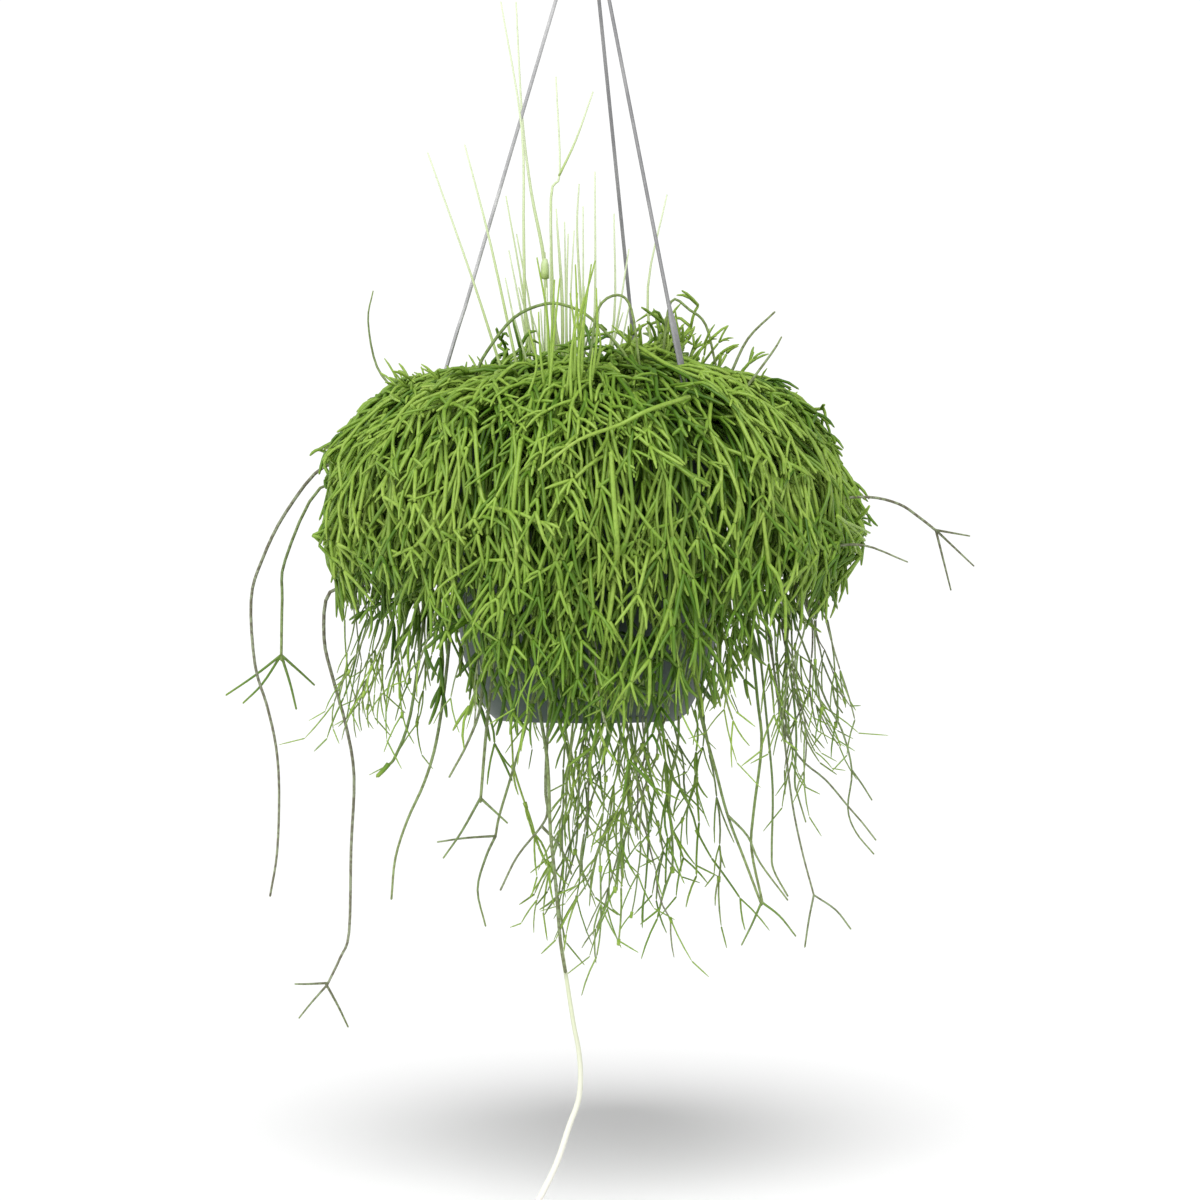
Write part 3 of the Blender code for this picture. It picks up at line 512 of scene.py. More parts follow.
def smoothed(points, pieces=4):
    # a smooth route through the points
    full = [points[0] * 2 - points[1]] + points + [points[-1] * 2 - points[-2]]
    route = []
    for k in range(1, len(full) - 2):
        p0, p1, p2, p3 = full[k - 1:k + 3]
        for j in range(pieces):
            t = j / pieces
            route.append((p1 * 2 + (p2 - p0) * t + (p0 * 2 - p1 * 5 + p2 * 4 - p3) * t * t
                          + (p1 * 3 - p0 - p2 * 3 + p3) * t * t * t) / 2)
    return route + [points[-1]]


def kept(p, proud):
    # the point, drawn in towards the mound's outline where it stands out, and kept off the pot
    r = p.xy.length
    height, fall, more = mound["loose"]
    low = limited((height - p.z) / fall)
    proud += more * low
    if p.z > mound["profile"][-1][1]:
        most = moundRadius(p.z, math.atan2(p.y, p.x)) + proud * 0.3
        if r > most:
            within = min(most + (r - most) * (0.6 + 0.35 * low), most + proud, mound["reach"])
            p = Vector((p.x * within / r, p.y * within / r, p.z))
    least, clear = mound["rimClear"]
    if p.z < clear - 0.002 and 0 < r < least:
        p = Vector((p.x * least / r, p.y * least / r, p.z))
    return p


def spreading(direction, angle, side):
    # a direction turned away by angle, towards side
    across = side - direction * side.dot(direction)
    if across.length < 1e-6:
        across = direction.orthogonal()
    return (direction * math.cos(angle) + across.normalized() * math.sin(angle)).normalized()


strand = {  # pairs that say so are for a strand that hangs, and what is added as it arches
    "step": (0.016, 0.033),  # shortest and longest distance between joints
    "radius": 0.00113,
    "thickness": (0.84, 1.2),
    "joint": (1.1, 0.97, 0.15),  # how thick at the joints and between them, and how much thinner at the end
    "shade": (0.50, 0.9, 0.20),  # on the outermost shell, how much darker inside, as painted shade deep in the mound, and how much strands differ
    "drift": 0.26,  # how far strands lean sideways
    "driftShare": (0.35, 0.75),  # such a pair
    "parting": 0.22,  # how far they lean away from the middle as they arch, and back as they hang
    "partingShare": (-0.4, 1.6),  # such a pair
    "zigzag": (0.26, 0.18),  # such a pair
    "stray": (0.002, 0.0025),  # up and down, such a pair
    "strayOut": 0.003,
    "endsOutside": 0.010,  # low down, a strand ends where it is this far outside the outline
    "start": (0.05, 0.5),  # share of the route where strands start
    "startOutside": (0.0, 0.35),  # the same in the outermost shells
    "rising": 0.6,
    "sideTwigs": ((), (1,), (1,), (-1, 1)),  # which sides twigs leave a joint to, one of these by chance
    "endTwigs": ((-1, 1), (-1, 1), (-1, 0.1, 1), (0.2,)),
    "twig": (0.012, 0.031),
    "leave": (0.52, 0.28),  # widest angle of a twig, such a pair
    "outwards": (0.1, 1.2),
    "fork": (0.22, 0.55),
    "proud": (0.0042, 0.016),  # how far tips stand out of the outline, on average and at most
    "droop": (0.08, 0.40),
    "bow": 0.08,
}


def arched(pair, run):
    return pair[0] + pair[1] * abs(run[0])


def twig(bundle, start, direction, length, radius, shade, rng, tip):
    # a side stem that leaves its joint at an angle and droops; returns its end and its way on
    fall = length * (1 + direction.z) * rng.uniform(*strand["droop"])
    usual, most = strand["proud"]
    end = kept(start + direction * length - Vector((0, 0, fall)), min(most, rng.expovariate(1 / usual)))
    bow = direction.cross(Vector((rng.gauss(0, 1), rng.gauss(0, 1), 0.3))) * length * rng.uniform(0.0, strand["bow"])
    bundle.segment(start, end, radius, shade, 0.0, bow + Vector((0, 0, fall * 0.3)), tip)
    return end, (end - start).normalized()


def strandJoints(shell, angle, start, rng):
    # the joints, then for each but the first the ways out and across and the route's run, then the last angle
    route = Route(shellRoute(shell, angle, rng))
    total = route.lengths[-1]
    s = start * total
    drift, zigzag = rng.gauss(0, strand["drift"]), rng.choice((-1, 1))
    parting = strand["parting"] * math.sin(2 * angle)
    r, z, run = route.at(s)
    joints, ways = [turned(r, angle, z)], []
    while s < total:
        length = rng.uniform(*strand["step"])
        s += length
        r, z, run = route.at(min(s, total))
        zigzag = -zigzag
        lean = drift * arched(strand["driftShare"], run) - parting * arched(strand["partingShare"], run)
        lean += zigzag * rng.uniform(0.0, arched(strand["zigzag"], run))
        angle += lean * length / max(r, 0.04)
        joint = turned(r + rng.gauss(0, strand["strayOut"]), angle, z + rng.gauss(0, arched(strand["stray"], run)))
        low = joint.z < mound["loose"][0] and len(joints) > 2
        if low and r > moundRadius(joint.z, angle) + strand["endsOutside"]:
            break
        joints.append(kept(joint, strand["strayOut"]))
        ways.append((turned(-run[1], angle, run[0]), turned(1, angle + math.pi / 2) * zigzag, run))
    return joints, ways, angle


def growTwigs(bundle, joints, ways, forks, radius, shade, rng):
    for k in range(1, len(joints)):
        joint, way = joints[k], (joints[k] - joints[k - 1]).normalized()
        out, side, run = ways[k - 1]
        if run[1] > strand["rising"]:
            continue  # still rising out of the soil
        narrow, wide = strand["fork"][0], arched(strand["leave"], run)
        for turn in rng.choice(strand["endTwigs" if k == len(joints) - 1 else "sideTwigs"]):
            aside = rng.uniform(narrow, wide)
            direction = spreading(way, aside, side * turn + out * rng.uniform(*strand["outwards"]))
            twigShade = shade + rng.gauss(0.05, 0.12)
            length = rng.uniform(*strand["twig"])
            forked = rng.random() < forks
            blunt = 0.9 if forked else 0.62
            tip, direction = twig(bundle, joint, direction, length, radius * 0.9, twigShade, rng, blunt)
            for fork in (-1, 1) if forked else ():
                away = spreading(direction, rng.uniform(*strand["fork"]), side * fork + out * rng.uniform(0.0, 0.6))
                twig(bundle, tip, away, length * rng.uniform(0.5, 0.9), radius * 0.82, twigShade + 0.08, rng, 0.55)


def growStrand(angle, shell, forks, rng, start):
    joints, ways, end = strandJoints(shell, angle, start, rng)
    if len(joints) < 2:
        return
    within = shell < mound["innerBelow"]
    bundle = (inner if within else outer)[wedgeAt((angle + end) / 2)]
    radius = strand["radius"] * rng.uniform(*strand["thickness"])
    # painted shade: strands of the inner shells get a darker shade, as if in the shadow deep inside the mound
    usual, paintedShadeInside, spread = strand["shade"]
    shade = limited(rng.gauss(usual - paintedShadeInside * (1 - shell), spread))
    pieces = 2 if within else 3
    points = smoothed(joints, pieces)
    last = len(points) - 1
    thick, thin, taper = strand["joint"]
    sizes = [radius * (thin if k % pieces else thick) * (1 - taper * k / last) for k in range(last + 1)]
    before = points[0] - (points[1] - points[0]).normalized() * radius * 0.5
    beyond = points[-1] + (points[-1] - points[-2]).normalized() * radius * 0.5
    bundle.add([before] + points + [beyond], [0.0] + sizes + [0.0], shade)
    growTwigs(bundle, joints, ways, forks, radius, shade, rng)


rng = random.Random(mound["seed"])
for shell, spacing, forks in mound["shells"]:
    around = round(math.tau * mound["spacedAt"] * shell / spacing)
    for k in range(around):
        start = rng.uniform(*strand["startOutside" if shell > 0.98 else "start"])
        angle = math.tau * (k + rng.uniform(-0.5, 0.5)) / around
        growStrand(angle + strand["parting"] * 0.5 * math.sin(2 * angle), shell, forks, rng, start)
print("mound grown")

# Short forked stems that stand up out of the crown, tallest on the right of it

tufts = {
    "count": 100,
    "reach": (-0.105, 0.118),
    "depth": 0.045,
    "edge": 0.122,  # none stand further from the axis
    "shell": 0.98,
    "tall": (0.006, 0.014),
    "tallest": (0.058, 0.030, 0.013),  # where the crown's tuft is, half its width, and how much it adds
    "twig": (0.006, 0.017),
    "spread": (0.25, 0.75),
    "seed": 31,
}
rng = random.Random(tufts["seed"])
for k in range(tufts["count"]):
    x, y = rng.uniform(*tufts["reach"]), rng.gauss(0, tufts["depth"])
    r, angle = math.hypot(x, y), math.atan2(y, x)
    if r > tufts["edge"]:
        continue
    ground = next(z for out, z in shellRoute(tufts["shell"], angle, rng)[2:] if out >= r)
    root = turned(r, angle, ground - 0.006)
    middle, wide, more = tufts["tallest"]
    height = rng.uniform(*tufts["tall"]) + more * math.exp(-(((x - middle) / wide) ** 2)) * rng.uniform(0.3, 1.0)
    way = (Vector((x, y, 0)) * 6 + Vector((rng.gauss(0, 0.3), rng.gauss(0, 0.3), 1))).normalized()
    tip = root + way * (height + 0.004)
    radius, shade = strand["radius"] * rng.uniform(0.6, 0.95), rng.uniform(0.45, 0.9)
    bundle = outer[wedgeAt(angle)]
    bundle.segment(root, tip, radius, shade, 0.0, way.orthogonal() * rng.gauss(0, 0.001))
    side, arch = Vector((rng.gauss(0, 1), rng.gauss(0, 1), 0.0)), Vector((0, 0, 0.001))
    for turn in rng.choice(((-1, 1), (-1, 1), (1,), (-1, 0.2, 1))):
        away = spreading(way, rng.uniform(*tufts["spread"]), side * turn)
        away = (away + Vector((x, y, -0.02)) * 3).normalized()
        bundle.segment(tip, tip + away * rng.uniform(*tufts["twig"]), radius * 0.85, shade + 0.1, 0.0, arch, 0.5)
print("crown tufted")

# The older stems that trail out of the mound, below the pot and round the hem

fringe = {
    "under": (38, -0.626, -0.540),  # how many hang below the pot, and between which heights they end
    "start": (0.108, -0.432),  # radius and height inside the mound where these start
    "foot": (0.058, 0.072, -0.508),  # least and largest radius, and height, where they come below the pot
    "footRight": 0.012,  # how much further out that is on the right
    "facing": (73, 21, 0.85),  # direction in front and behind, its spread, and how many keep to it
    "inward": 0.05,
    "hem": (58, -0.508, -0.474),  # how many hang round the hem, and between which heights they end
    "hemStart": (0.116, 0.138, -0.432),
    "hemFoot": (0.008, -0.022),
    "hemRight": (0.030, 0.4),  # how much lower they end on the right, and what share of it higher on the left
    "hemThin": 0.82,
    "closer": 0.30,  # how much closer together they are at the sides
    "outward": 0.10,
    "step": (0.015, 0.032),
    "radius": (0.00050, 0.00078),
    "thinnest": 0.00045,
    "sway": 0.15,
    "knot": 0.20,
    "twig": (0.012, 0.028),
    "spread": (0.25, 0.62),
    "again": 0.35,  # how many twigs fork once more
    "potClear": (0.055, -0.515),
    "reach": (0.148, 0.156),  # how far joints and twigs may come to the front and the back
    "seed": 23,
}


def growTrailing(angle, start, node, tip, rng, inward, thin=1.0):
    radius = rng.uniform(*fringe["radius"]) * thin
    age = limited(rng.gauss(0.42, 0.32))
    shade = rng.uniform(0.35, 0.9)
    least, clear = fringe["potClear"]
    nodeReach, twigReach = fringe["reach"]
    bundle = trailing[wedgeAt(angle)]
    bundle.segment(start, node, radius, shade, age, (node - start).orthogonal().normalized() * 0.002)
    outward = turned(1, angle)
    way = (Vector((rng.gauss(0, 0.10), rng.gauss(0, 0.10), -1)) + outward * rng.gauss(0.05, 0.1)).normalized()
    while node.z > tip:
        sway = Vector((rng.gauss(0, fringe["sway"]), rng.gauss(0, fringe["sway"]), -0.2))
        if inward < 0 or node.z < clear:
            sway -= outward * inward
        way = (way * 0.85 + sway).normalized()
        way = Vector((way.x, way.y, min(way.z, -0.80))).normalized()
        end = node + way * rng.uniform(*fringe["step"])
        if end.xy.length < least and end.z > clear:
            end += turned(least - end.xy.length, angle)
        end.y = limited(end.y, -nodeReach, nodeReach)
        bundle.segment(node, end, radius, shade, age, way.orthogonal() * rng.gauss(0, 0.0008))
        node = end
        if rng.random() < fringe["knot"]:
            bundle.segment(node - way * 0.0012, node + way * 0.0026, radius * 1.9, 0.9, 0.0)
        side = Vector((rng.gauss(0, 1), rng.gauss(0, 1), 0.0))
        for turn in rng.choice(((), (1,), (-1, 1), (-1, 1))):
            length = rng.uniform(*fringe["twig"])
            away = spreading(way, rng.uniform(*fringe["spread"]), side * turn)
            twigEnd = node + away * length - Vector((0, 0, length * 0.12))
            twigEnd.y = limited(twigEnd.y, -twigReach, twigReach)
            twigAge, bow = age * rng.uniform(0.2, 0.9), away.orthogonal() * 0.0008
            bundle.segment(node, twigEnd, radius * 0.88, shade + 0.1, twigAge, bow, 0.6)
            if rng.random() < fringe["again"]:
                away = spreading(away, 0.5, side * turn)
                forkEnd = twigEnd + away * length * 0.7
                bundle.segment(twigEnd, forkEnd, radius * 0.8, shade + 0.2, age * 0.3, None, 0.5)
        radius = max(fringe["thinnest"], radius * 0.98)


rng = random.Random(fringe["seed"])
count, low, high = fringe["under"]
facing, spread, keeping = fringe["facing"]
for k in range(count):
    front = rng.choice((-1, 1))
    angle = front * math.radians(rng.gauss(facing, spread)) if rng.random() < keeping else rng.uniform(0, math.tau)
    foot = rng.uniform(*fringe["foot"][:2]) + fringe["footRight"] * max(0, math.cos(angle))
    start = turned(fringe["start"][0], angle, fringe["start"][1])
    foot = turned(foot, angle, fringe["foot"][2])
    growTrailing(angle, start, foot, rng.uniform(low, high), rng, fringe["inward"])
count, low, high = fringe["hem"]
wander, down = fringe["hemFoot"]
lower, left = fringe["hemRight"]
for k in range(count):
    angle = math.tau * (k + rng.uniform(-0.5, 0.5)) / count
    angle -= fringe["closer"] * math.sin(2 * angle)
    start = turned(rng.uniform(*fringe["hemStart"][:2]), angle, fringe["hemStart"][2])
    tip = rng.uniform(low, high) - lower * max(-left, math.cos(angle)) * rng.random()
    foot = start + turned(rng.uniform(-wander, wander), angle, down)
    growTrailing(angle, start, foot, tip, rng, -fringe["outward"], fringe["hemThin"])

# Single stems that stand out in the photograph, by the pixels that they pass through, from root to tip;
# after them the depth, the radius in millimetres and the age, each at the root and at the tip

singles = {
    "Left": (
        (((372, 468), (325, 466), (286, 512), (262, 560), (251, 600), (255, 665), (267, 706), (276, 747),
          (279, 791), (277, 852), (270, 896)), (0.004, 0.020), (1.1, 0.7), (1.0, 0.9)),
        (((372, 488), (320, 488), (285, 560), (282, 600), (281, 660)), (0.030, 0.034), (1.0, 0.9), (0.7, 0.5)),
        (((281, 655), (254, 676), (226, 695)), (0.034, 0.026), (0.9, 0.6), (0.3, 0.1)),
        (((281, 655), (262, 684), (243, 703)), (0.034, 0.034), (0.9, 0.6), (0.3, 0.1)),
        (((281, 655), (290, 684), (296, 709)), (0.034, 0.042), (0.9, 0.6), (0.4, 0.2)),
        (((281, 655), (300, 672), (314, 685)), (0.034, 0.050), (0.9, 0.6), (0.4, 0.2)),
        (((370, 590), (330, 592), (324, 638), (333, 679), (346, 726), (354, 776), (351, 849), (349, 932),
          (340, 958), (326, 987)), (0.012, 0.012), (1.2, 0.8), (1.0, 1.0)),
        (((328, 983), (308, 984), (295, 984)), (0.012, 0.005), (0.8, 0.5), (0.9, 0.6)),
        (((327, 985), (311, 1003), (299, 1018)), (0.012, 0.013), (0.8, 0.5), (0.9, 0.6)),
        (((326, 984), (338, 1006), (348, 1027)), (0.012, 0.021), (0.8, 0.5), (0.9, 0.6)),
        (((400, 396), (377, 367), (368, 321), (373, 291)), (0.012, 0.016), (0.9, 0.4), (0.6, 0.5)),
    ),
    "FrontLeft": (
        (((452, 618), (446, 680), (437, 741), (425, 782), (408, 820), (396, 858), (392, 899)),
         (-0.075, -0.085), (1.0, 0.6), (0.6, 0.6)),
        (((424, 620), (411, 714), (396, 756), (388, 766)), (-0.060, -0.070), (0.9, 0.8), (0.6, 0.3)),
        (((389, 764), (384, 770), (378, 776)), (-0.070, -0.072), (1.5, 1.2), (0.0, 0.0)),
        (((484, 620), (482, 700), (469, 741), (450, 777)), (-0.090, -0.098), (1.0, 0.6), (0.7, 0.7)),
        (((500, 620), (488, 720), (481, 802)), (-0.094, -0.084), (1.0, 0.8), (0.7, 0.6)),
        (((481, 798), (462, 832), (444, 858)), (-0.084, -0.092), (0.8, 0.5), (0.6, 0.5)),
        (((481, 798), (508, 823)), (-0.084, -0.092), (0.8, 0.5), (0.6, 0.5)),
        (((540, 620), (538, 690), (548, 760), (551, 830), (556, 880), (561, 941), (566, 972)),
         (-0.106, -0.086), (1.1, 1.0), (0.5, 0.8)),
        (((496, 836), (486, 858), (478, 890), (486, 926)), (-0.070, -0.060), (0.8, 0.5), (0.7, 0.5)),
        (((496, 836), (466, 838), (438, 842)), (-0.070, -0.080), (0.8, 0.5), (0.8, 0.6)),
        (((546, 640), (528, 720), (512, 775), (500, 815), (496, 836)), (-0.070, -0.070), (0.9, 0.8), (0.4, 0.7)),
        (((552, 660), (546, 780), (548, 810), (542, 826), (518, 856), (501, 890)),
         (-0.075, -0.070), (0.9, 0.6), (0.7, 0.8)),
        (((542, 826), (560, 846), (572, 874)), (-0.075, -0.066), (0.9, 0.6), (0.8, 0.5)),
        (((476, 374), (487, 352), (514, 318), (545, 304), (568, 306), (591, 318), (624, 352), (630, 372)),
         (-0.060, -0.062), (1.0, 0.9), (0.5, 0.4)),
    ),
    "FrontRight": (
        (((690, 640), (700, 710), (716, 770), (728, 815), (745, 860), (762, 905)),
         (-0.070, -0.060), (0.9, 0.7), (0.4, 0.6)),
        (((728, 815), (748, 836), (760, 862), (788, 900)), (-0.066, -0.060), (0.8, 0.5), (0.6, 0.6)),
        (((762, 902), (752, 925), (742, 945)), (-0.060, -0.060), (0.8, 0.5), (0.3, 0.5)),
        (((762, 902), (780, 916), (796, 936)), (-0.060, -0.056), (0.8, 0.5), (0.2, 0.5)),
        (((750, 620), (758, 700), (762, 745), (754, 812), (752, 850), (763, 903)),
         (-0.060, -0.060), (1.0, 0.8), (0.3, 0.6)),
        (((590, 365), (598, 310), (618, 295), (632, 310), (640, 365)), (-0.066, -0.066), (0.9, 0.8), (0.5, 0.5)),
    ),
    "Right": (
        (((758, 630), (768, 730), (773, 790), (772, 850), (774, 870), (788, 896)),
         (-0.040, -0.040), (0.8, 0.6), (0.4, 0.6)),
        (((768, 630), (782, 720), (792, 800), (802, 850), (814, 895)), (-0.030, -0.030), (0.7, 0.6), (0.8, 0.8)),
        (((814, 895), (809, 920), (805, 947)), (-0.030, -0.026), (0.6, 0.5), (0.8, 0.6)),
        (((814, 895), (836, 910), (851, 929)), (-0.030, -0.036), (0.6, 0.5), (0.8, 0.6)),
        (((770, 630), (780, 710), (798, 755), (826, 780), (848, 806), (862, 822), (876, 840)),
         (-0.030, -0.036), (0.7, 0.5), (0.8, 0.7)),
        (((794, 620), (826, 700), (842, 730), (852, 770), (848, 808), (856, 832), (874, 854)),
         (-0.020, -0.030), (0.7, 0.5), (0.6, 0.6)),
        (((852, 770), (862, 784), (872, 800)), (-0.024, -0.024), (0.6, 0.5), (0.6, 0.6)),
        (((784, 620), (796, 720), (795, 780), (798, 795), (806, 822)), (-0.034, -0.034), (0.8, 0.5), (0.3, 0.6)),
        (((820, 500), (868, 497), (899, 504), (919, 517), (938, 532)), (-0.040, -0.030), (0.9, 0.8), (0.9, 0.9)),
        (((936, 530), (970, 536)), (-0.030, -0.042), (0.8, 0.5), (0.9, 0.8)),
        (((936, 530), (974, 566)), (-0.030, -0.030), (0.8, 0.5), (0.9, 0.8)),
        (((936, 530), (951, 590)), (-0.030, -0.018), (0.8, 0.5), (0.9, 0.8)),
        (((820, 548), (863, 545), (908, 562)), (-0.060, -0.066), (1.0, 0.5), (0.9, 0.8)),
        (((662, 362), (671, 302), (690, 310), (706, 325), (716, 365)), (-0.034, -0.034), (0.9, 0.8), (0.5, 0.5)),
        (((730, 376), (748, 339), (775, 312)), (-0.040, -0.046), (0.9, 0.6), (0.7, 0.7)),
        (((742, 394), (773, 352), (782, 337)), (-0.070, -0.074), (0.9, 0.5), (0.7, 0.7)),
    ),
}

# Bright stems across the face of the mound in the same way, where the depth follows the mound;
# after the pixels how far they stand out, the radius at the root and at the tip, and the shade

faces = {
    "FrontRight": (
        (((612, 452), (615, 500), (618, 545), (617, 570)), 0.002, (1.3, 1.7), 1.15),
        (((617, 569), (611, 612), (603, 660), (597, 728)), 0.002, (1.5, 0.9), 0.95),
        (((617, 570), (606, 584), (597, 600)), 0.004, (1.1, 0.6), 1.1),
        (((617, 570), (622, 592), (624, 622)), 0.004, (1.1, 0.6), 1.1),
        (((618, 560), (640, 592), (661, 616)), 0.001, (1.1, 0.7), 0.7),
        (((611, 622), (628, 652), (641, 682)), 0.002, (1.0, 0.6), 0.8),
        (((690, 397), (650, 410), (620, 425), (580, 440), (540, 470)), 0.005, (1.4, 0.8), 1.0),
        (((522, 440), (517, 480), (514, 520), (518, 552)), 0.001, (1.4, 1.1), 0.8),
        (((537, 512), (528, 528), (518, 545)), 0.002, (1.0, 0.6), 0.6),
        (((537, 512), (545, 538), (556, 562), (540, 586), (522, 602)), 0.003, (1.1, 0.6), 0.75),
        (((556, 566), (560, 598), (571, 628)), 0.002, (0.9, 0.5), 0.75),
        (((505, 560), (480, 562), (452, 578), (440, 588)), 0.003, (1.0, 0.6), 0.8),
    ),
    "Right": (
        (((838, 516), (853, 528), (864, 540)), 0.006, (1.2, 0.8), 1.3),
        (((846, 522), (860, 528), (870, 533)), 0.007, (1.0, 0.6), 1.3),
        (((842, 520), (852, 538), (857, 553)), 0.006, (1.0, 0.6), 1.3),
    ),
}


def onMound(column, row, proud):
    # the place on the front of the mound that the photograph shows at this pixel
    depth = -mound["profile"][mound["widest"]][0]
    for k in range(4):
        p = at(column, row, depth)
        most = moundRadius(p.z, math.atan2(depth, p.x)) + proud + 0.005
        depth = -math.sqrt(max(most * most - p.x * p.x, 0.0004))
    return at(column, row, depth)


def addDrawn(bundle, points, radii, ages, shade):
    # a stem through the points, with radii in millimetres
    points = smoothed(points)
    last = len(points) - 1
    sizes = [0.001 * (radii[0] + (radii[1] - radii[0]) * k / last) for k in range(last + 1)]
    tip = points[-1] + (points[-1] - points[-2]).normalized() * sizes[-1]
    root = points[0] + (points[0] - points[1]).normalized() * sizes[0] * 0.3
    bundle.add([root] + points + [tip], [0.0] + sizes + [0.0], shade, ages)


def addSingle(bundle, pixels, depths, radii, ages, shade=0.45):
    last = len(pixels) - 1
    points = [at(c, r, depths[0] + (depths[1] - depths[0]) * k / last) for k, (c, r) in enumerate(pixels)]
    addDrawn(bundle, points, radii, ages, shade)


for wedge, stems in singles.items():
    for pixels, depths, radii, ages in stems:
        addSingle(trailing[wedge], pixels, depths, radii, ages)
for wedge, stems in faces.items():
    for pixels, proud, radii, shade in stems:
        addDrawn(trailing[wedge], [onMound(c, r, proud) for c, r in pixels], radii, (0.0, 0.0), shade)

# Fresh green blades in the middle of the crown, by the pixels of their feet and how many pixels tall they are

crown = {"blades": 16, "columns": (527, 604), "feet": (372, 404), "tall": (45, 120), "lean": 0.07, "seed": 3}
rng = random.Random(crown["seed"])
for k in range(crown["blades"]):
    column, row = rng.uniform(*crown["columns"]), rng.uniform(*crown["feet"])
    root = onMound(column, row, -0.006)
    height, lean = rng.uniform(*crown["tall"]) * photo["pixel"], rng.gauss(0, crown["lean"])
    middle = root + Vector((lean * 0.3 + rng.gauss(0, 0.04), 0, 0.5)) * height
    tip = root + Vector((lean, 0.02, 1)) * height
    addDrawn(trailing["FrontRight"], [root, middle, tip], (1.0, 0.45), (0.0, 0.0), rng.uniform(0.8, 1.2))

# Pale shoots that rise through the middle, and the one that trails to the floor

shoots = {
    "rising": (  # pixels, depth, radius at the root in millimetres
        (((572, 400), (530, 344), (524, 245), (522, 130), (501, 2)), -0.019, 1.2),
        (((572, 400), (548, 364), (545, 268), (531, 191), (522, 115), (516, 2)), 0.007, 1.5),
        (((578, 400), (556, 330), (551, 199), (560, 172), (556, 77)), -0.012, 1.1),
        (((586, 400), (581, 306), (577, 230), (579, 184)), 0.012, 1.0),
        (((590, 400), (595, 306), (595, 172)), -0.004, 1.0),
        (((596, 400), (614, 320), (614, 214)), 0.006, 1.0),
        (((559, 176), (576, 140), (593, 92)), -0.012, 0.75),
        (((506, 384), (474, 283), (428, 153)), -0.029, 0.9),
        (((521, 384), (491, 245), (465, 145)), -0.037, 0.9),
        (((654, 370), (648, 287), (667, 195)), -0.015, 0.9),
        (((560, 400), (549, 364), (547, 326), (547, 288)), -0.030, 2.0),
    ),
    "thinnest": 0.45,
    "age": (0.0, 0.15),
    "bud": (545, 279, 258, -0.024, 0.0024),  # a thick tip: its column, two rows, depth and radius
    "blades": 26,
    "columns": (505, 632),  # where the thin blades end
    "rows": (190, 320),
    "depth": (-0.045, 0.03),
    "foot": (568, 398, 0.55),  # middle column and row of their feet, and how close together these are
    "wander": 4,
    "blade": (0.7, 1.1, 0.4),  # least and largest radius at the foot, and the tip's
    "long": (  # grows out of a stem that hangs in front
        (561, 941), (566, 972), (574, 1023), (579, 1049), (581, 1074), (579, 1100), (570, 1125), (556, 1166),
        (533, 1212),
    ),
    "seed": 5,
}
pale = StemBundle("paleShoots", 8)
for pixels, depth, thick in shoots["rising"]:
    addSingle(pale, pixels, (depth, depth), (thick, shoots["thinnest"]), shoots["age"])
column, low, high, depth, radius = shoots["bud"]
pale.segment(at(column, low, depth), at(column, high, depth), radius, 0.9, 0.0, None, 0.6)
rng = random.Random(shoots["seed"])
middle, footRow, closer = shoots["foot"]
thin, thick, tip = shoots["blade"]
for k in range(shoots["blades"]):
    column, row, depth = (rng.uniform(*shoots[kind]) for kind in ("columns", "rows", "depth"))
    foot = middle + (column - middle) * closer
    bend = ((foot + column) / 2 + rng.uniform(-shoots["wander"], shoots["wander"]), (footRow + row) / 2)
    pixels = ((foot, footRow), bend, (column, row))
    radii = (rng.uniform(thin, thick), tip)
    addSingle(pale, pixels, (depth * 0.6, depth), radii, (0.0, 0.1), rng.uniform(0.4, 1.0))
addSingle(pale, shoots["long"], (-0.086, -0.060), (1.0, 1.9), (0.4, 1.0))
pale.build(paleShoot, "pale_shoot", ["upright_shoots"])
for name, node, first in wedges:
    for bundles in (outer, inner, trailing):
        bundles[name].build(stemGreen, "stem_green", [node])
print("stems made")

# The pot

pot = {
    "rimTop": -0.344,
    "height": 0.168,
    "wall": 0.002,
    "floor": 0.0025,
    "lip": (0.087, 0.006),  # radius and height
    "side": (  # outer radius and height over the base
        (0.053, 0.0), (0.0575, 0.004), (0.0625, 0.013), (0.068, 0.025), (0.0725, 0.038), (0.0775, 0.072),
        (0.081, 0.118), (0.083, 0.162),
    ),
    "steps": 128,
    "edge": (0.5, 0.0006),  # edges sharper than this angle are rounded by this much
    "lug": (0.0915, 0.014, 0.0012),  # reach, width and rounding
    "overlap": (0.001, 0.0001),  # how far a lug goes into the wall, and how much lower than the lip it is
    "slot": (0.0865, 0.0052, 0.0027),  # radius, width and depth
    "slotCut": (0.012, 0.006),  # how far the cutter goes below and above the rim
    "drain": (0.004, 0.036, 5, 0.01),  # radius of a hole and of their circle, how many, and the cutter's reach
}
strandAngles = {"Left": -171.1, "Right": -51.1, "Back": 68.9}


def block(bm, low, high, angle, rounded=0.0):
    # a box between two corners, turned round the axis, with its upright edges rounded
    made = bmesh.ops.create_cube(bm, size=1)["verts"]
    low, high = Vector(low), Vector(high)
    bmesh.ops.scale(bm, verts=made, vec=high - low)
    bmesh.ops.translate(bm, verts=made, vec=(low + high) / 2)
    upright = [e for e in {e for v in made for e in v.link_edges} if abs((e.verts[0].co - e.verts[1].co).z) > 0.001]
    bmesh.ops.rotate(bm, verts=made, cent=(0, 0, 0), matrix=Matrix.Rotation(math.radians(angle), 3, "Z"))
    if rounded:
        bmesh.ops.bevel(bm, geom=upright, offset=rounded, affect="EDGES", segments=3, profile=0.5, material=-1)


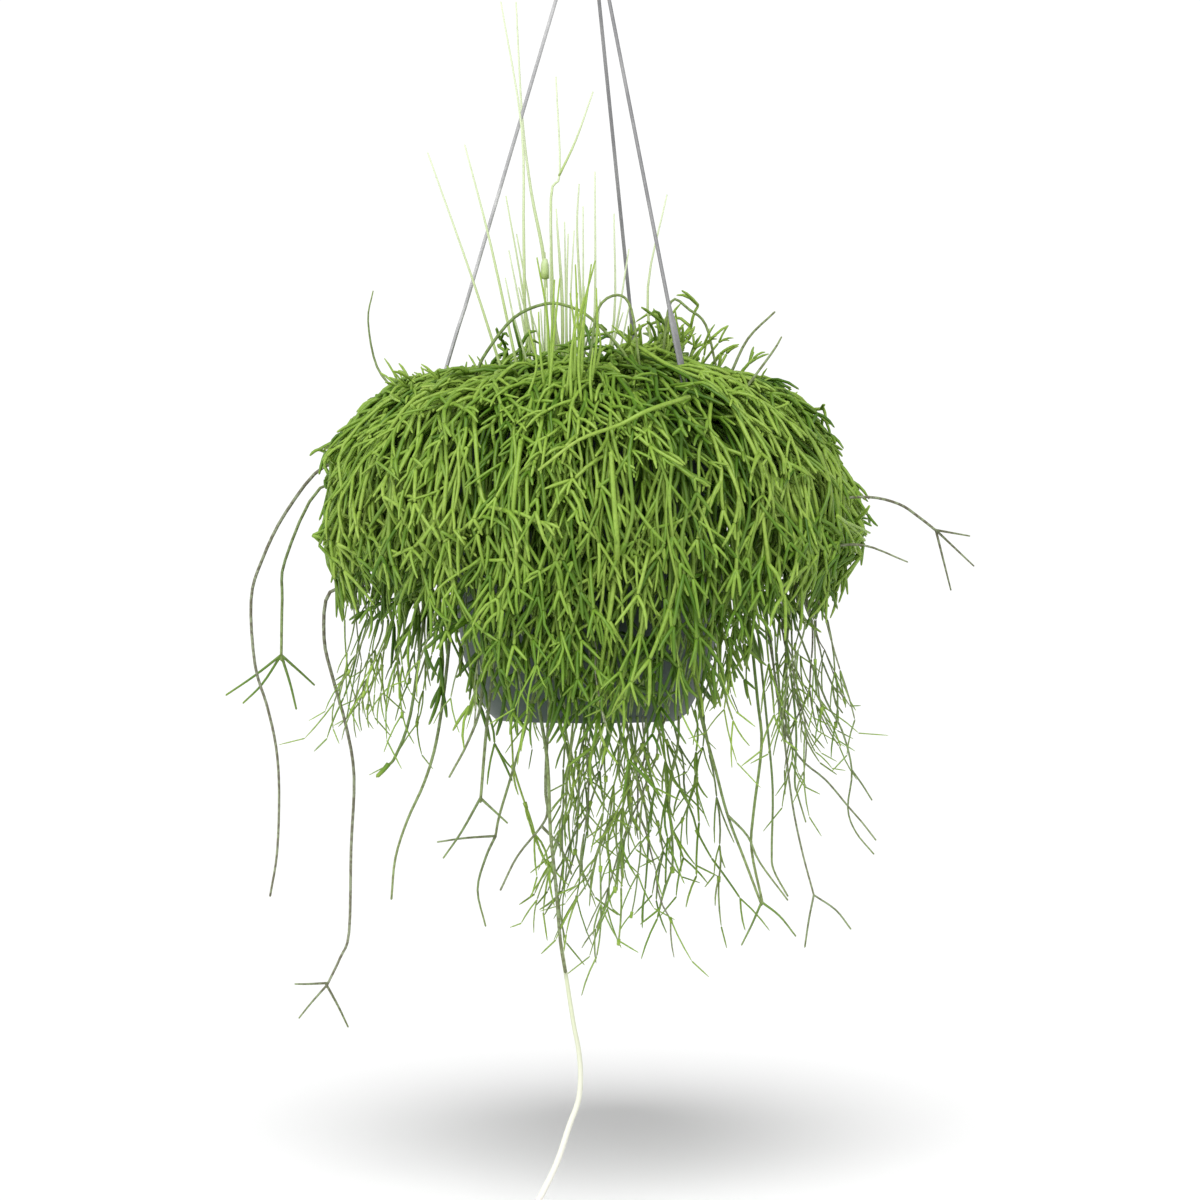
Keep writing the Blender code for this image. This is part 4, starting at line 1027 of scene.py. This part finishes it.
def rod(bm, radius, low, high, x, y):
    size = {"radius1": radius, "radius2": radius, "depth": high - low}
    made = bmesh.ops.create_cone(bm, cap_ends=True, segments=24, **size)
    bmesh.ops.translate(bm, verts=made["verts"], vec=(x, y, (low + high) / 2))


def combined(bm, tool, operation):
    # the first mesh joined with the second, or cut by it
    made = [placedMesh("working", mesh) for mesh in (bm, tool)]
    modifier = made[0].modifiers.new("combined", "BOOLEAN")
    modifier.operation, modifier.solver, modifier.object = operation, "EXACT", made[1]
    result = bmesh.new()
    result.from_object(made[0], bpy.context.evaluated_depsgraph_get())
    for piece in made:
        data = piece.data
        bpy.data.objects.remove(piece)
        bpy.data.meshes.remove(data)
    return result


rimTop, base = pot["rimTop"], pot["rimTop"] - pot["height"]
lipRadius, lipHeight = pot["lip"]
outside = [(r, base + h) for r, h in pot["side"]]
inside = [(r - pot["wall"], max(z, base + pot["floor"])) for r, z in outside]
inside[-1] = (inside[-1][0], rimTop)
lip = [(lipRadius, rimTop - lipHeight), (lipRadius, rimTop)]
bm = bmesh.new()
spunProfile(bm, [(0, base)] + outside + lip + inside[::-1] + [(0, base + pot["floor"])], pot["steps"])
sharp, rounding = pot["edge"]
edges = [e for e in bm.edges if e.calc_face_angle(0) > sharp]
bmesh.ops.bevel(bm, geom=edges, offset=rounding, affect="EDGES", segments=2, profile=0.5, material=-1)
lugs, cutters = bmesh.new(), bmesh.new()
reach, wide, rounding = pot["lug"]
within, lower = pot["overlap"]
out, across, deep = pot["slot"]
below, above = pot["slotCut"]
for angle in strandAngles.values():
    root = pot["side"][-1][0] - within
    block(lugs, (root, -wide / 2, rimTop - lipHeight + lower), (reach, wide / 2, rimTop - lower), angle, rounding)
    corner = (out - deep / 2, -across / 2, rimTop - below)
    block(cutters, corner, (out + deep / 2, across / 2, rimTop + above), angle)
radius, circle, count, reach = pot["drain"]
for k in range(count):
    spot = turned(circle, math.tau * k / count)
    rod(cutters, radius, base - reach, base + reach, spot.x, spot.y)
bm = combined(combined(bm, lugs, "UNION"), cutters, "DIFFERENCE")
addPiece("hangingPot", bm, potFinish(), ["pot"], 35)
print("pot made")

# The hanger: a hook with its hub, and three strands that snap through the rim's lugs

hanger = {
    "hubTop": -0.045,
    "hubThick": 0.003,
    "hubRadius": 0.009,
    "hubRound": 0.0006,
    "boss": (0.0036, 0.0028, 0.0009),  # lower and upper radius, and height
    "hookInner": 0.014,
    "wire": 0.0024,
    "bend": (205, -45, 10),  # where the hook's bend starts and ends in degrees, and the step
    "end": (-0.0022, -0.004),  # from there to the tip
    "roundedEnd": (0.55, 0.72),  # how far the last ring is beyond it, and how large, as shares of the wire
    "neck": ((0.0045, -0.0012), (0.0, -0.005)),  # where the bend runs into the shank
    "strandTop": 0.0055,
    "strandRadius": 0.0011,
    "holeGap": 0.0004,
    "foot": 0.0865,
    "blade": (0.00115, 0.002376),  # half widths outwards and across
    "sides": 16,
    "grey": ((0.17, 0.17, 0.175), (0.27, 0.27, 0.27)),
    "pale": ((0.30, 0.30, 0.305), (0.48, 0.48, 0.48)),
}


def lofted(bm, rings, sides):
    # a tube through rings: each a place, two directions across with their half widths
    last = None
    for k, (place, u, v, a, b) in enumerate(rings):
        turn = Matrix((u * a, v * b, u.cross(v))).transposed().to_4x4()
        turn.translation = place
        ends = k in (0, len(rings) - 1)
        made = bmesh.ops.create_circle(bm, cap_ends=ends, segments=sides, radius=1, matrix=turn)["verts"]
        edges = list({e for v in made for e in v.link_edges})
        if last:
            bmesh.ops.bridge_loops(bm, edges=last + edges)
        last = edges
    bmesh.ops.recalc_face_normals(bm, faces=bm.faces)


ring = hanger["hookInner"] + hanger["wire"]
first, final, step = hanger["bend"]
middle = -hanger["hookInner"]
places = [
    Vector((ring * math.cos(a), 0, middle + ring * math.sin(a)))
    for a in (math.radians(d) for d in range(first, final - 1, -step))
]
places.insert(0, places[0] + Vector((hanger["end"][0], 0, hanger["end"][1])))
shank = [Vector((x, 0, middle - ring + z)) for x, z in hanger["neck"]]
shank.append(Vector((0, 0, hanger["hubTop"] - hanger["hubThick"] / 2)))
places += smoothed([places[-1]] + shank[:2])[1:] + shank[2:]
rings = []
for k, place in enumerate(places):
    along = (places[min(k + 1, len(places) - 1)] - places[max(k - 1, 0)]).normalized()
    across = Vector((0, 1, 0))
    rings.append((place, across, along.cross(across), hanger["wire"], hanger["wire"]))
place, u, v, a, b = rings[0]
along = (places[0] - places[1]).normalized()
further, smaller = hanger["roundedEnd"]
rings.insert(0, (place + along * hanger["wire"] * further, u, v, a * smaller, b * smaller))
hook, hub, holes = bmesh.new(), bmesh.new(), bmesh.new()
lofted(hook, rings, hanger["sides"])
low, high, reach = hanger["hubTop"] - hanger["hubThick"], hanger["hubTop"], hanger["hubRadius"]
soft, (wide, narrow, boss) = hanger["hubRound"], hanger["boss"]
spunProfile(hub, [(0, low), (reach - soft, low), (reach, low + soft), (reach, high - soft),
                  (reach - soft, high), (wide, high), (narrow, high + boss), (0, high + boss)], 64)
for angle in strandAngles.values():
    spot = turned(hanger["strandTop"], math.radians(angle))
    rod(holes, hanger["strandRadius"] + hanger["holeGap"], low - 0.005, high + 0.005, spot.x, spot.y)
hub = combined(combined(hook, hub, "UNION"), holes, "DIFFERENCE")
greyPlastic = hangerFinish("hangerPlastic", *hanger["grey"])
palePlastic = hangerFinish("hangerPlasticPale", *hanger["pale"])
addPiece("hangerHook", hub, greyPlastic, ["hook"], 40)

top, bottom = hanger["hubTop"], pot["rimTop"]
slopeTop, bladeTop = top - hanger["hubThick"] - 0.002, bottom + 0.058
bendTop, barbTop = bottom + 0.022, bottom - 0.0063
narrow, foot = hanger["strandTop"], hanger["foot"]
bladeOut = narrow + (foot - narrow) * (slopeTop - bladeTop) / (slopeTop - bendTop)
rodSize, blade = (hanger["strandRadius"], hanger["strandRadius"]), hanger["blade"]
stations = (  # distance out from the axis, height, half widths outwards and across
    (narrow, top + 0.0037, (0.0005, 0.0005)), (narrow, top + 0.0035, (0.0011, 0.0011)),
    (narrow, top + 0.0027, (0.0020, 0.0020)), (narrow, top + 0.0012, (0.0022, 0.0022)),
    (narrow, top + 0.0003, (0.0022, 0.0022)), (narrow, top + 0.0002, rodSize), (narrow, top - 0.0035, rodSize),
    (narrow + 0.0002, slopeTop - 0.001, rodSize), (bladeOut - 0.004, bladeTop + 0.012, rodSize),
    (bladeOut - 0.002, bladeTop + 0.006, (0.0011, 0.0015)), (bladeOut, bladeTop, blade),
    (foot - 0.0012, bendTop + 0.004, blade), (foot, bendTop - 0.003, blade), (foot, bottom + 0.002, blade),
    (foot, barbTop + 0.0001, blade), (foot + 0.0011, barbTop, (0.0021, 0.0022)),
    (foot + 0.0006, barbTop - 0.0022, (0.0016, 0.0022)), (foot, barbTop - 0.0045, (0.0008, 0.0018)),
)
for name, angle in strandAngles.items():
    out, across = turned(1, math.radians(angle)), turned(1, math.radians(angle + 90))
    bm = bmesh.new()
    lofted(bm, [(out * r + Vector((0, 0, z)), out, across, *size) for r, z, size in stations], hanger["sides"])
    finish = palePlastic if name == "Left" else greyPlastic
    addPiece("hangerStrand" + name, bm, finish, ["hanger_strand_" + name.lower()], 40)
print("hanger made")

# The soil, with crumbs, bark and perlite on it

soil = {
    "level": pot["rimTop"] - 0.012,
    "gap": 0.0005,
    "lumps": 0.0008,
    "rough": 0.0011,
    "rings": 24,
    "steps": 96,
    "bark": (90, 0.0018, 0.0042),  # how many pieces, and the least and largest size
    "perlite": (60, 0.0007, 0.0016),
    "seed": 11,
}
gap = pot["wall"] + soil["gap"]
floorHeight = base + pot["floor"] + soil["gap"]
side = [(r - gap, base + h) for r, h in pot["side"] if floorHeight < base + h < soil["level"] - 0.003]
edge = pot["side"][-1][0] - gap - 0.001
profile = [(0, floorHeight), (side[0][0] - 0.006, floorHeight)] + side + [(edge, soil["level"] - 0.001)]
profile += [(edge * k / soil["rings"], soil["level"]) for k in reversed(range(soil["rings"]))]
bm = bmesh.new()
spunProfile(bm, profile, soil["steps"])


def soilHeight(x, y):
    r, a = math.hypot(x, y), math.atan2(y, x)
    lumps = soil["lumps"] * (math.sin(5 * a + r * 90) + math.sin(3 * a - r * 140))
    return soil["level"] + lumps + soil["rough"] * noise.fractal(Vector((x, y, 0)) * 170, 0.8, 2.0, 4)


for v in bm.verts:
    if v.co.z > soil["level"] - 0.0005 and v.co.xy.length < edge - 0.002:
        v.co.z = soilHeight(v.co.x, v.co.y)
addPiece("pottingSoil", bm, soilFinish(), ["soil"], 60)
rng = random.Random(soil["seed"])
for name, colors, shape in (
    ("bark", ((0.030, 0.016, 0.008), (0.120, 0.065, 0.032)), (1.0, 0.6, 0.3)),
    ("perlite", ((0.55, 0.54, 0.50), (0.80, 0.79, 0.75)), (1.0, 0.9, 0.8)),
):
    count, small, large = soil[name]
    bm = bmesh.new()
    for k in range(count):
        angle, r = rng.uniform(0, math.tau), edge * 0.95 * math.sqrt(rng.random())
        size, spot = rng.uniform(small, large), turned(r, angle)
        spot.z = soilHeight(spot.x, spot.y) + size * shape[2] * 0.3
        made = bmesh.ops.create_icosphere(bm, subdivisions=1, radius=1)["verts"]
        for v in made:
            v.co *= 1 + 0.35 * noise.noise(v.co * 1.7 + Vector((k, 0, 0)))
        bmesh.ops.scale(bm, verts=made, vec=[size * part for part in shape])
        turn = Matrix.Rotation(rng.uniform(0, math.tau), 3, "Z") @ Matrix.Rotation(rng.gauss(0, 0.25), 3, "X")
        bmesh.ops.rotate(bm, verts=made, cent=(0, 0, 0), matrix=turn)
        bmesh.ops.translate(bm, verts=made, vec=spot)
    addPiece(name + "Grains", bm, grainFinish(name, *colors), ["soil"], 30)
print("soil made")

# The camera, light and floor

sceneSet = {
    "floor": cadBox[0].z - 0.012,
    "floorRadius": 30.0,
    "softKey": (2.6, 30, 49, -3),  # strength, then in degrees its width, height and turn to the photograph's right
    "frontFill": (0.8, 20, 6, -50),
    "sky": (0.30, 0.60, 1.06, 0.40),  # between which heights the sky fades, and its strengths below and above
    "sensor": 36,
}
bm = bmesh.new()
bmesh.ops.create_circle(bm, cap_ends=True, segments=64, radius=sceneSet["floorRadius"])
bmesh.ops.translate(bm, verts=bm.verts, vec=(0, 0, sceneSet["floor"]))
floor = placedMesh("floor", bm)
floorFinish = Finish("floorPaper", 0.9)
paper = floorFinish.mix(floorFinish.noise(3, 2), (0.90, 0.90, 0.90), (0.92, 0.92, 0.92))
floorFinish.tree.links.new(paper, floorFinish.shader.inputs["Base Color"])
floor.data.materials.append(floorFinish.material)

world = bpy.data.worlds.new("studio")
bpy.context.scene.world = world
world.use_nodes = True
tree = world.node_tree
direction = tree.nodes.new("ShaderNodeTexCoord").outputs["Generated"]
split = tree.nodes.new("ShaderNodeSeparateXYZ")
height = tree.nodes.new("ShaderNodeMapRange")
height.interpolation_type = "SMOOTHSTEP"
tree.links.new(direction, split.inputs[0])
tree.links.new(split.outputs["Z"], height.inputs["Value"])
for label, amount in zip(("From Min", "From Max", "To Min", "To Max"), sceneSet["sky"]):
    height.inputs[label].default_value = amount
tree.links.new(height.outputs["Result"], tree.nodes["Background"].inputs["Strength"])
tree.nodes["Background"].inputs["Color"].default_value = (1, 1, 1, 1)

for name in ("softKey", "frontFill"):
    light = bpy.data.lights.new(name, "SUN")
    light.energy = sceneSet[name][0]
    light.angle, up, turn = (math.radians(degrees) for degrees in sceneSet[name][1:])
    toLight = Vector((math.sin(turn) * math.cos(up), -math.cos(turn) * math.cos(up), math.sin(up)))
    placed(name, light).rotation_euler = toLight.to_track_quat("Z", "Y").to_euler()

camera = bpy.data.cameras.new("camera")
camera.sensor_width = sceneSet["sensor"]
camera.lens = sceneSet["sensor"] * photo["eyeDistance"] / (2 * photo["middleColumn"] * photo["pixel"])
cameraObject = placed("camera", camera)
cameraObject.location = at(photo["middleColumn"], photo["eyeRow"]) - Vector((0, photo["eyeDistance"], 0))
cameraObject.rotation_euler = (math.radians(90), 0, 0)
bpy.context.scene.camera = cameraObject
bpy.context.scene.view_settings.view_transform = "Standard"
print("stage set")
